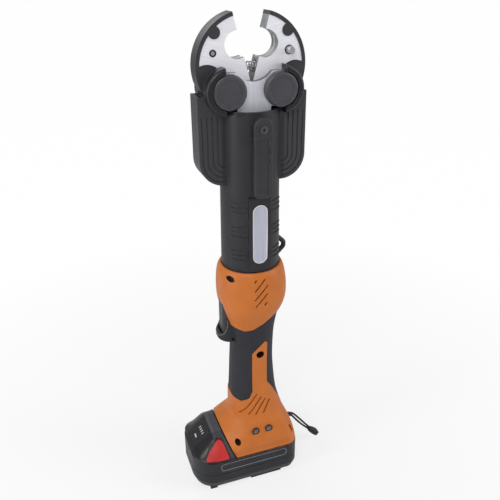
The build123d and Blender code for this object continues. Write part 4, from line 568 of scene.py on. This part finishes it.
def jaw_steel(name, side):
    """Forged jaw: bright milled faces inside a black rim. Side is -1 on the left jaw, 1 on the right."""
    material, tree, shader = blank_material(name)
    place, parts = place_parts(tree)
    marks = use_group(tree, BRUSHING, Turn=side * JAW_OPEN, Scale=FACE_MARK_SCALE)
    edges = use_group(tree, SOFT_EDGES, Radius=METAL_EDGE)
    grain = use_group(tree, MOULDED_GRAIN, Scale=SKIN_GRAIN_SCALE)

    # Middle of the jaw's round outline, turned open about its pivot
    along = Vector((-side * PIVOT_X, 0.0, JAW_ARC_RISE))
    turned = Matrix.Rotation(side * JAW_OPEN, 3, "Y") @ along
    middle = Vector((side * PIVOT_X, 0.0, PIVOT_Z)) + turned
    reach = far_from(tree, place, middle.x, middle.z)
    inside = ramp(tree, reach, *(JAW_ARC_R - setback for setback in JAW_ARC_PAINT))
    depth = math_node(tree, "ABSOLUTE", parts["Y"])
    milled = ramp(tree, depth, JAW_RIM_FACE + JAW_FACE_BLEND, JAW_RIM_FACE - JAW_FACE_BLEND)
    above = ramp(tree, parts["Z"], *(PIVOT_Z - drop for drop in JAW_BARE_FROM))
    bare = math_node(tree, "MULTIPLY", math_node(tree, "MULTIPLY", inside, milled), above, clamp=True)
    facing = facing_sides(tree)
    rim_end = ramp(tree, reach, JAW_ARC_R - JAW_RIM + PAINT_EDGE, JAW_ARC_R - JAW_RIM - PAINT_EDGE)
    bare = math_node(tree, "MULTIPLY", bare, math_node(tree, "MAXIMUM", facing, rim_end))

    face = mix_colour(tree, marks.outputs["Streak"], FACE_DARK, FACE_PALE)
    # Walls of the bare steel painted darker than its faces, as shade
    wall_shade = mix_colour(tree, grain.outputs["Fleck"], WALL_SHADE_DARK, WALL_SHADE_PALE)
    steel = mix_colour(tree, facing, wall_shade, face)
    skin = mix_colour(tree, grain.outputs["Patch"], SKIN_DARK, SKIN_PALE)
    # Edges of the skin painted lighter: wear, and a painted highlight along each edge
    worn_and_lit = mix_colour(tree, edges.outputs["Rub_And_Highlight"], skin, SKIN_RUBBED_AND_LIT)
    link(tree, mix_colour(tree, bare, worn_and_lit, steel), shader.inputs["Base Color"])
    gloss = math_node(tree, "MULTIPLY", marks.outputs["Patch"], JAW_GLOSS)
    rough = math_node(tree, "MULTIPLY_ADD", bare, FACE_SMOOTHER, SKIN_ROUGH)
    link(tree, math_node(tree, "ADD", rough, gloss), shader.inputs["Roughness"])
    link(tree, math_node(tree, "MULTIPLY", bare, FACE_METAL), shader.inputs["Metallic"])
    link(tree, bump(tree, marks.outputs["Height"], FACE_MARKS, BRUSH_HEIGHT, edges.outputs["Normal"]),
         shader.inputs["Normal"])
    return material


CHARCOAL = moulded("charcoal_plastic", (0.034, 0.034, 0.039), (0.027, 0.027, 0.032), (0.16, 0.16, 0.18),
                   0.42)
BARREL_BLACK = moulded("barrel_black", (0.021, 0.021, 0.025), (0.016, 0.016, 0.02), (0.1, 0.1, 0.11), 0.46,
                       zones=wing_zones)
PACK_BLACK = moulded("pack_black", (0.019, 0.02, 0.025), (0.013, 0.014, 0.018), (0.08, 0.085, 0.1), 0.42)
COVER_BLACK = moulded("cover_black", (0.019, 0.02, 0.025), (0.013, 0.014, 0.018), (0.08, 0.085, 0.1), 0.42,
                      zones=pack_zones)
GRIP_RUBBER = moulded("grip_rubber", (0.023, 0.024, 0.031), (0.017, 0.018, 0.024), (0.06, 0.06, 0.07), 0.66,
                      grain_scale=1100.0, grain=0.5)
ORANGE = moulded("orange_plastic", (0.58, 0.165, 0.024), (0.51, 0.14, 0.02), (0.7, 0.28, 0.08), 0.45,
                 grain=0.16, zones=orange_zones)
LATCH_RED = moulded("latch_red", (0.54, 0.027, 0.027), (0.45, 0.021, 0.021), (0.7, 0.15, 0.13), 0.45,
                    grain=0.15, zones=latch_zones)
HEAD_BLACK = moulded("pivot_black", (0.056, 0.055, 0.065), (0.046, 0.045, 0.054), (0.14, 0.14, 0.16), 0.36,
                     grain=0.1, specular=0.5)
PANEL_BLACK = moulded("label_panel", (0.012, 0.012, 0.014), (0.009, 0.009, 0.011), (0.05, 0.05, 0.05), 0.28,
                      grain=0.06)
# Pale edge of the label panels: a painted highlight
PANEL_EDGE_HIGHLIGHT = moulded("label_edge_highlight", (0.3, 0.31, 0.35), (0.22, 0.23, 0.26), (0.4, 0.4, 0.44), 0.4, grain=0.06)
MARK_WHITE = moulded("gauge_mark", (0.7, 0.7, 0.7), (0.6, 0.6, 0.6), (0.8, 0.8, 0.8), 0.4, grain=0.05)
# Pale bead on the rim of the trigger cup: a painted highlight
CUP_HIGHLIGHT = moulded("cup_highlight", (0.2, 0.15, 0.11), (0.15, 0.11, 0.08), (0.3, 0.25, 0.2), 0.5, grain=0.1)
BEZEL_BLACK = moulded("bezel_black", (0.055, 0.037, 0.032), (0.045, 0.03, 0.026), (0.1, 0.08, 0.07), 0.4)
SEAL_RUBBER = moulded("seal_rubber", (0.03, 0.03, 0.032), (0.022, 0.022, 0.024), (0.05, 0.05, 0.05), 0.6)
LENS = moulded("light_lens", (0.3, 0.23, 0.21), (0.24, 0.18, 0.165), (0.5, 0.46, 0.44), 0.22, grain=0.05,
               zones=lens_zones)
BOARD_GREEN = moulded("board_lacquer", (0.03, 0.16, 0.07), (0.02, 0.12, 0.05), (0.1, 0.2, 0.1), 0.35,
                      grain=0.05)
CELL_WRAP = moulded("cell_wrap", (0.08, 0.2, 0.36), (0.06, 0.16, 0.3), (0.2, 0.3, 0.4), 0.4, grain=0.05)
STEEL = machined("bright_steel", (0.8, 0.8, 0.82), (0.68, 0.68, 0.71), 0.3)
# Link plates: their edge walls are painted dark as shade
LINK_SILVER = machined("link_silver", (0.84, 0.84, 0.92), (0.76, 0.76, 0.84), 0.34, turn=math.pi / 2,
                       metallic=0.35, wall_shade=(0.13, 0.13, 0.14))
PLATE = machined("plate_silver", (0.52, 0.53, 0.63), (0.44, 0.45, 0.55), 0.4, turn=math.pi / 2,
                 metallic=0.3)
PIN_STEEL = machined("pin_steel", (0.52, 0.52, 0.54), (0.42, 0.42, 0.44), 0.32, metallic=0.9)
SPRING_STEEL = machined("spring_steel", (0.55, 0.55, 0.57), (0.42, 0.42, 0.44), 0.3, metallic=0.7)
CAST = machined("cast_alloy", (0.5, 0.5, 0.51), (0.4, 0.4, 0.41), 0.45)
COPPER = machined("copper_alloy", (0.75, 0.45, 0.25), (0.65, 0.38, 0.2), 0.35)
BLACK_STEEL = machined("black_steel", (0.04, 0.04, 0.045), (0.028, 0.028, 0.032), 0.42, metallic=0.6)
STRAP_NYLON = moulded("strap_nylon", (0.022, 0.022, 0.025), (0.015, 0.015, 0.017), (0.05, 0.05, 0.05), 0.65,
                      grain_scale=2600.0, grain=0.6)

FINISHES = (
    (BARREL_BLACK, ("barrel_near", "barrel_far")),
    (CHARCOAL, ("release_lever", "trigger", "terminal_block", "swivel_ring",
                "trigger_switch", "release_plunger")),
    (PACK_BLACK, ("battery_tray",)),
    (COVER_BLACK, ("battery_cover",)),
    (GRIP_RUBBER, ("grip_near", "grip_far")),
    (ORANGE, ("housing_near", "housing_far")),
    (LATCH_RED, ("latch_button_near", "latch_button_far")),
    (HEAD_BLACK, ("pivot_pins", "pivot_caps", "lever_screw")),
    (PANEL_BLACK, ("charge_gauge",)),
    (SEAL_RUBBER, ("piston_seal", "oil_bladder", "gauge_button")),
    (LENS, ("indicator_lights",)),
    (BOARD_GREEN, ("control_board",)),
    (CELL_WRAP, ("battery_cells",)),
    (LINK_SILVER, ("link_plate_near", "link_plate_far")),
    (PIN_STEEL, ("left_die_pin", "right_die_pin")),
    (STEEL, ("left_roller", "right_roller",
             "roller_pins", "frame_pins", "ram", "drive_shaft", "motor_rotor", "trigger_pin", "lever_pin",
             "strap_pin", "pump_piston", "gland_nut", "cylinder", "motor_can")),
    (PLATE, ("rating_plate",)),
    (CAST, ("pump_block", "gearbox_housing")),
    (COPPER, ("battery_contacts",)),
    (BLACK_STEEL, ("hang_loop", "housing_screws", "guard_screws", "battery_screws")),
    (jaw_steel("left_jaw_steel", -1), ("left_jaw",)),
    (jaw_steel("right_jaw_steel", 1), ("right_jaw",)),
)


def finish_nodes():
    for material, names in FINISHES:
        for name in names:
            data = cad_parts[name].data
            data.materials.clear()
            data.materials.append(material)


# Pieces

def deselect():
    if bpy.context.mode != "OBJECT":
        bpy.ops.object.mode_set(mode="OBJECT")
    bpy.ops.object.select_all(action="DESELECT")


def only(piece):
    deselect()
    piece.select_set(True)
    bpy.context.view_layer.objects.active = piece


def settle(piece, name, material, body):
    """Names the piece, bakes its place into its mesh and hands it to a body."""
    piece.name = name
    only(piece)
    bpy.ops.object.transform_apply(location=True, rotation=True, scale=True)
    piece.data.materials.clear()
    piece.data.materials.append(material)
    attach(piece, body)
    return piece


def pick(piece, kind, test):
    """Selects, in edit mode, the faces, edges or vertices of a piece that pass a test."""
    bpy.ops.mesh.select_mode(type=kind)
    bpy.ops.mesh.select_all(action="DESELECT")
    mesh = bmesh.from_edit_mesh(piece.data)
    parts = {"FACE": mesh.faces, "EDGE": mesh.edges, "VERT": mesh.verts}[kind]
    for part in parts:
        if test(part):
            part.select_set(True)
    bmesh.update_edit_mesh(piece.data)


def ease(piece, width, segments=2):
    """Rounds the hard edges of a piece and smooths its shading."""
    only(piece)
    modifier = piece.modifiers.new("ease", "BEVEL")
    modifier.width = width
    modifier.segments = segments
    modifier.limit_method = "ANGLE"
    modifier.angle_limit = EASE_ANGLE
    bpy.ops.object.modifier_apply(modifier=modifier.name)
    bpy.ops.object.shade_smooth_by_angle(angle=EASE_ANGLE)


def ring(inner, outer, depth, place):
    """Flat ring about Y with eased edges."""
    deselect()
    bpy.ops.mesh.primitive_cylinder_add(vertices=RING_SIDES, radius=outer, depth=depth, location=place,
                                        rotation=(math.pi / 2, 0.0, 0.0))
    piece = bpy.context.object
    bpy.ops.object.mode_set(mode="EDIT")
    pick(piece, "FACE", lambda face: len(face.verts) > 4)
    bpy.ops.mesh.inset(thickness=outer - inner, use_individual=True)
    bpy.ops.mesh.delete(type="FACE")
    pick(piece, "EDGE", lambda edge: edge.is_boundary)
    bpy.ops.mesh.bridge_edge_loops()
    bpy.ops.mesh.select_all(action="SELECT")
    bpy.ops.mesh.normals_make_consistent(inside=False)
    bpy.ops.object.mode_set(mode="OBJECT")
    ease(piece, RING_EASE)
    return piece


def rounded_bar(size, corner, border=0.0, sink=0.0):
    """Plate in X and Z facing -Y, its corners rounded, its face inset by a border and sunk."""
    deselect()
    bpy.ops.mesh.primitive_cube_add(size=1.0)
    piece = bpy.context.object
    piece.scale = size
    bpy.ops.object.transform_apply(location=False, rotation=False, scale=True)
    bpy.ops.object.mode_set(mode="EDIT")
    pick(piece, "EDGE", lambda edge: abs((edge.verts[0].co - edge.verts[1].co).normalized().y) > ALONG_Y)
    bpy.ops.mesh.bevel(offset=corner, segments=6, affect="EDGES")
    if border:
        pick(piece, "FACE", lambda face: face.normal.y < -ALONG_Y)
        bpy.ops.mesh.inset(thickness=border, depth=-sink)
    bpy.ops.object.mode_set(mode="OBJECT")
    return piece


def wire_curve(name, points, wire, radii=None):
    """Round wire along a spline over the points, as a curve."""
    curve = bpy.data.curves.new(name, "CURVE")
    curve.dimensions = "3D"
    curve.bevel_depth = wire
    curve.bevel_resolution = 4
    curve.resolution_u = 8
    curve.use_fill_caps = True
    spline = curve.splines.new("NURBS")
    spline.points.add(len(points) - 1)
    for index, place in enumerate(points):
        spline.points[index].co = (*place, 1.0)
        if radii:
            spline.points[index].radius = radii[index]
    spline.order_u = 3
    spline.use_endpoint_u = True
    piece = bpy.data.objects.new(name, curve)
    bpy.context.scene.collection.objects.link(piece)
    return piece


def wire_mesh(name, points, wire, radii=None):
    """Round wire along a spline over the points, as a mesh."""
    piece = wire_curve(name, points, wire, radii)
    only(piece)
    bpy.ops.object.convert(target="MESH")
    bpy.ops.object.shade_smooth()
    return piece


def make_return_spring():
    radius = RETURN_HIGH.x - RETURN_WIRE
    low = RETURN_LOW.z + RETURN_WIRE
    high = RETURN_HIGH.z - RETURN_WIRE
    steps = RETURN_TURNS * COIL_STEPS
    points = []
    for index in range(steps + 1):
        share = index / steps
        angle = 2 * math.pi * RETURN_TURNS * share
        points.append((radius * math.cos(angle), radius * math.sin(angle), low + (high - low) * share))
    piece = settle(wire_mesh("ram_return_spring", points, RETURN_WIRE), "ram_return_spring", STEEL, "head")
    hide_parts("return_spring")
    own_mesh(piece)


def make_jaw_spring():
    """Coil bent over between the open jaws, each half held in the pocket of its jaw."""
    top = JAW_SPRING_HIGH.z - JAW_SPRING_WIRE - JAW_SPRING_COIL
    steps = JAW_SPRING_TURNS * COIL_STEPS
    points = []
    for index in range(steps + 1):
        share = index / steps
        along = JAW_SPRING_REACH * (2 * share - 1)
        angle = 2 * math.pi * JAW_SPRING_TURNS * share
        radius = JAW_SPRING_BEND + JAW_SPRING_COIL * math.sin(angle)
        points.append((radius * math.sin(along), JAW_SPRING_COIL * math.cos(angle),
                       top - JAW_SPRING_BEND + radius * math.cos(along)))
    half = steps // 2
    for jaw, side, run in (("left_jaw", -1, points[:half + 1]), ("right_jaw", 1, points[half:])):
        name = jaw + "_spring_half"
        piece = settle(wire_mesh(name, run, JAW_SPRING_WIRE), name, SPRING_STEEL, jaw)
        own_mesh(piece)
        if side < 0:
            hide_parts("jaw_spring")


def make_strap():
    """Wrist strap: two strands from a ribbed sleeve at the foot to a flat tab at their end."""
    route = [Vector((x * MM, 0.0, z * MM)) for x, z in STRAP_ROUTE]
    for name, side in (("strap_strand_near", 0.0), ("strap_strand_far", 1.0)):
        points = [point + side * STRAND_SPLIT * shift * Vector(STRAND_SIDE)
                  for point, shift in zip(route, STRAND_SHIFTS)]
        piece = wire_curve(name, points, STRAND_R)
        piece.data.materials.append(STRAP_NYLON)
        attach(piece, "handle")

    # Sleeve over the first bend of the route
    points = []
    radii = []
    for index in range(SLEEVE_STEPS + 1):
        share = index / SLEEVE_STEPS
        rest = 1 - share
        points.append(route[0] * rest ** 2 + route[1] * 2 * share * rest + route[2] * share ** 2)
        radii.append((1.0 - SLEEVE_TAPER * share) * (1.0 if index % 3 else SLEEVE_GROOVE))
    sleeve = settle(wire_mesh("strap_sleeve", points, SLEEVE_R, radii), "strap_sleeve", STRAP_NYLON,
                    "handle")

    # Tab, narrow at the strands and rounded at its end
    end = Vector((STRAP_TAB_END[0] * MM, 0.0, STRAP_TAB_END[1] * MM))
    start = route[-1] + (route[-2] - route[-1]).normalized() * STRAP_TAB_LAP
    along = end - start
    deselect()
    bpy.ops.mesh.primitive_cube_add(size=1.0)
    tab = bpy.context.object
    tab.scale = (along.length, *STRAP_TAB_SIZE)
    bpy.ops.object.transform_apply(location=False, rotation=False, scale=True)
    bpy.ops.object.mode_set(mode="EDIT")
    bpy.ops.mesh.subdivide(number_cuts=3)
    for limit, share in STRAP_TAB_NECK:
        pick(tab, "VERT", lambda vert: vert.co.x < limit * along.length)
        bpy.ops.transform.resize(value=(1.0, share, share))
    bpy.ops.object.mode_set(mode="OBJECT")
    modifier = tab.modifiers.new("round", "SUBSURF")
    modifier.levels = 3
    bpy.ops.object.modifier_apply(modifier=modifier.name)
    bpy.ops.object.shade_smooth()
    turn = along.to_track_quat("X", "Z").to_matrix().to_4x4()
    tab.matrix_world = Matrix.Translation((start + end) / 2) @ turn
    settle(tab, "strap_end_tab", STRAP_NYLON, "handle")

    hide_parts("wrist_strap")
    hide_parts("strap_tab")


def make_lights_trim():
    """Black bezels round the two lights in the foot."""
    for end, x in zip(("front", "rear"), LIGHT_X):
        piece = ring(BEZEL_INNER, BEZEL_OUTER, BEZEL_DEPTH, (x, LIGHTS_LOW.y + BEZEL_SET, LIGHT_Z))
        settle(piece, "light_bezel_" + end, BEZEL_BLACK, "handle")


def make_lever_washer():
    radius = (SCREW_HIGH.x - SCREW_LOW.x) / 2
    place = ((SCREW_HIGH.x + SCREW_LOW.x) / 2, SCREW_LOW.y, (SCREW_HIGH.z + SCREW_LOW.z) / 2)
    piece = ring(WASHER_BORE * radius, radius + WASHER_LAP, WASHER_DEPTH, place)
    settle(piece, "lever_washer", HEAD_BLACK, "release_lever")


def make_pin_rings():
    """Dark rings of the die pins: on the left one's flush end, and a painted shadow on the jaw round the
    right one.
    """
    for pin, body, inner, outer in PIN_RINGS:
        low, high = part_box(pin)
        place = ((low.x + high.x) / 2, -JAW_MILLED_FACE - PIN_RING_RISE, (low.z + high.z) / 2)
        settle(ring(inner, outer, PIN_RING_DEPTH, place), pin + "_ring", BLACK_STEEL, body)


def make_plate_rim():
    """Bright bead round the rating plate."""
    middle = (PLATE_LOW + PLATE_HIGH) / 2
    half = (PLATE_HIGH.x - PLATE_LOW.x) / 2 - BEAD_INSET
    straight = (PLATE_HIGH.z - PLATE_LOW.z) / 2 - BEAD_INSET - half
    points = []
    for step in range(BEAD_STEPS + 1):
        angle = 2 * math.pi * step / BEAD_STEPS
        rise = straight if step < BEAD_STEPS // 2 else -straight
        if step % (BEAD_STEPS // 2) == 0:
            rise = 0.0
        points.append((middle.x + half * math.cos(angle), PLATE_LOW.y,
                       middle.z + half * math.sin(angle) + rise))
    settle(wire_mesh("plate_rim", points, BEAD_R), "plate_rim", MARK_WHITE, "head")


def make_labels():
    """Bare label panels on both sides of the pack, each with a pale edge painted as a highlight."""
    width = LABEL_X[1] - LABEL_X[0]
    height = LABEL_Z[1] - LABEL_Z[0]
    for name, side in (("pack_label_near", -1), ("pack_label_far", 1)):
        piece = rounded_bar((width, LABEL_THICK, height), LABEL_CORNER, LABEL_HIGHLIGHT_BORDER, LABEL_SINK)
        face = max(piece.data.polygons, key=lambda polygon: polygon.area * -polygon.normal.y)
        rim = [polygon.index for polygon in piece.data.polygons if polygon.index != face.index]
        turn = Matrix.Rotation(0.0 if side < 0 else math.pi, 4, "Z")
        middle = Vector((sum(LABEL_X) / 2, side * (PACK_HIGH.y - LABEL_BED), sum(LABEL_Z) / 2))
        piece.matrix_world = Matrix.Translation(middle) @ turn
        settle(piece, name, PANEL_BLACK, "battery")
        piece.data.materials.append(PANEL_EDGE_HIGHLIGHT)
        for index in rim:
            piece.data.polygons[index].material_index = 1


def make_gauge_marks():
    """Charge marks on the gauge and a long mark on its button."""
    up = Vector((GAUGE_SLOPE[0], 0.0, GAUGE_SLOPE[1])).normalized()
    across = Vector((0.0, -1.0, 0.0))
    out = up.cross(across).normalized()
    middle = Vector((GAUGE_X, 0.0, DECK_Z + GAUGE_RISE))
    turn = Matrix((across, -out, up)).transposed().to_4x4()
    marks = []
    for index in range(MARK_COUNT):
        along = MARK_FIRST + MARK_STEP * index
        marks.append(("gauge_mark_%d" % (index + 1), "battery", along, MARK_RISE, MARK_SIZE))
    marks.append(("button_mark", "gauge_button", 0.0, BUTTON_MARK_RISE, BUTTON_MARK_SIZE))
    for name, body, along, rise, size in marks:
        piece = rounded_bar(tuple(value * MM for value in size), MARK_CORNER)
        spot = middle + across * along * MM + up * rise * MM + out * MARK_PROUD
        piece.matrix_world = Matrix.Translation(spot) @ turn
        settle(piece, name, MARK_WHITE, body)


def cup_half_width(x):
    """Half the width of the trigger cup's outline at x, in metres."""
    into_corner = max(0.0, CUP_FRONT + CUP_CORNER - x)
    return CUP_HALF - CUP_CORNER + math.sqrt(max(0.0, CUP_CORNER ** 2 - into_corner ** 2))


def make_cup_highlight():
    """Pale bead along the rim of the trigger cup: a painted highlight on the rim's edge."""
    rim = [(x * MM, CUP_FLOOR + rise * MM) for x, rise in CUP_RIM]
    near = [(x, -cup_half_width(x), z) for x, z in rim]
    far = [(x, -y, z) for x, y, z in reversed(near)]
    piece = wire_mesh("cup_rim_highlight", near + far, CUP_HIGHLIGHT_R)
    settle(piece, "cup_rim_highlight", CUP_HIGHLIGHT, "handle")


# Stage, light and camera

def make_stage():
    deselect()
    bpy.ops.mesh.primitive_plane_add(size=FLOOR_SIZE, location=(0.0, 0.0, 0.0))
    floor = bpy.context.object
    floor.name = "floor"
    material, tree, shader = blank_material("floor_paper")
    shader.inputs["Base Color"].default_value = FLOOR_GREY
    shader.inputs["Roughness"].default_value = 0.9
    shader.inputs["Specular IOR Level"].default_value = 0.1
    glow = tree.nodes.new("ShaderNodeEmission")
    rays = tree.nodes.new("ShaderNodeLightPath")
    place = tree.nodes.new("ShaderNodeTexCoord")
    away = tree.nodes.new("ShaderNodeVectorMath")
    away.operation = "LENGTH"
    link(tree, place.outputs["Object"], away.inputs[0])
    pale = ramp(tree, away.outputs["Value"], *FLOOR_FADE, *FLOOR_PALE)
    mix = tree.nodes.new("ShaderNodeMixShader")
    link(tree, math_node(tree, "MULTIPLY", rays.outputs["Is Camera Ray"], pale), mix.inputs["Fac"])
    link(tree, shader.outputs["BSDF"], mix.inputs[1])
    link(tree, glow.outputs["Emission"], mix.inputs[2])
    link(tree, mix.outputs["Shader"], tree.nodes["Material Output"].inputs["Surface"])
    floor.data.materials.append(material)

    world = bpy.data.worlds.new("studio")
    bpy.context.scene.world = world
    world.use_nodes = True
    tree = world.node_tree
    background = tree.nodes["Background"]
    background.inputs["Color"].default_value = (1.0, 1.0, 1.0, 1.0)
    rays = tree.nodes.new("ShaderNodeLightPath")
    seen = math_node(tree, "MAXIMUM", rays.outputs["Is Camera Ray"], rays.outputs["Is Transmission Ray"])
    plain = ramp(tree, seen, 0.0, 1.0, DAYLIGHT, 1.0)
    mirrored = math_node(tree, "MULTIPLY", rays.outputs["Is Glossy Ray"], MIRRORED_LIGHT)
    link(tree, math_node(tree, "MAXIMUM", plain, mirrored), background.inputs["Strength"])


def softbox(name, place, aim, size, power):
    data = bpy.data.lights.new(name, "AREA")
    data.shape = "RECTANGLE"
    data.size, data.size_y = size
    data.energy = power
    lamp = bpy.data.objects.new(name, data)
    bpy.context.scene.collection.objects.link(lamp)
    lamp.location = place
    lamp.rotation_mode = "QUATERNION"
    lamp.rotation_quaternion = (Vector(aim) - Vector(place)).to_track_quat("-Z", "Y")


def make_lights():
    for name, place, size, power in LAMPS:
        softbox(name, place, LAMP_AIM, size, power)


def make_camera():
    data = bpy.data.cameras.new("photo_camera")
    data.sensor_width = SENSOR
    data.lens = CAMERA_LENS
    data.clip_start = 0.01
    camera = bpy.data.objects.new("photo_camera", data)
    bpy.context.scene.collection.objects.link(camera)
    side, turn = math.sin(CAMERA_AZIMUTH), math.cos(CAMERA_AZIMUTH)
    low, level = math.sin(CAMERA_PITCH), math.cos(CAMERA_PITCH)
    ahead = Vector((-side * level, turn * level, -low))
    right = Vector((turn, side, 0.0))
    up = right.cross(ahead)
    lean, stand = math.sin(CAMERA_ROLL), math.cos(CAMERA_ROLL)
    right, up = right * stand + up * lean, up * stand - right * lean
    place = Vector((side * CAMERA_REACH, -turn * CAMERA_REACH, CAMERA_HEIGHT))
    camera.matrix_world = Matrix(((right.x, up.x, -ahead.x, place.x), (right.y, up.y, -ahead.y, place.y),
                                  (right.z, up.z, -ahead.z, place.z), (0.0, 0.0, 0.0, 1.0)))
    bpy.context.scene.camera = camera


bpy.context.scene.view_settings.view_transform = "Standard"
finish_nodes()
make_return_spring()
make_jaw_spring()
make_strap()
make_lights_trim()
make_lever_washer()
make_pin_rings()
make_plate_rim()
make_labels()
make_gauge_marks()
make_cup_highlight()
make_stage()
make_lights()
make_camera()
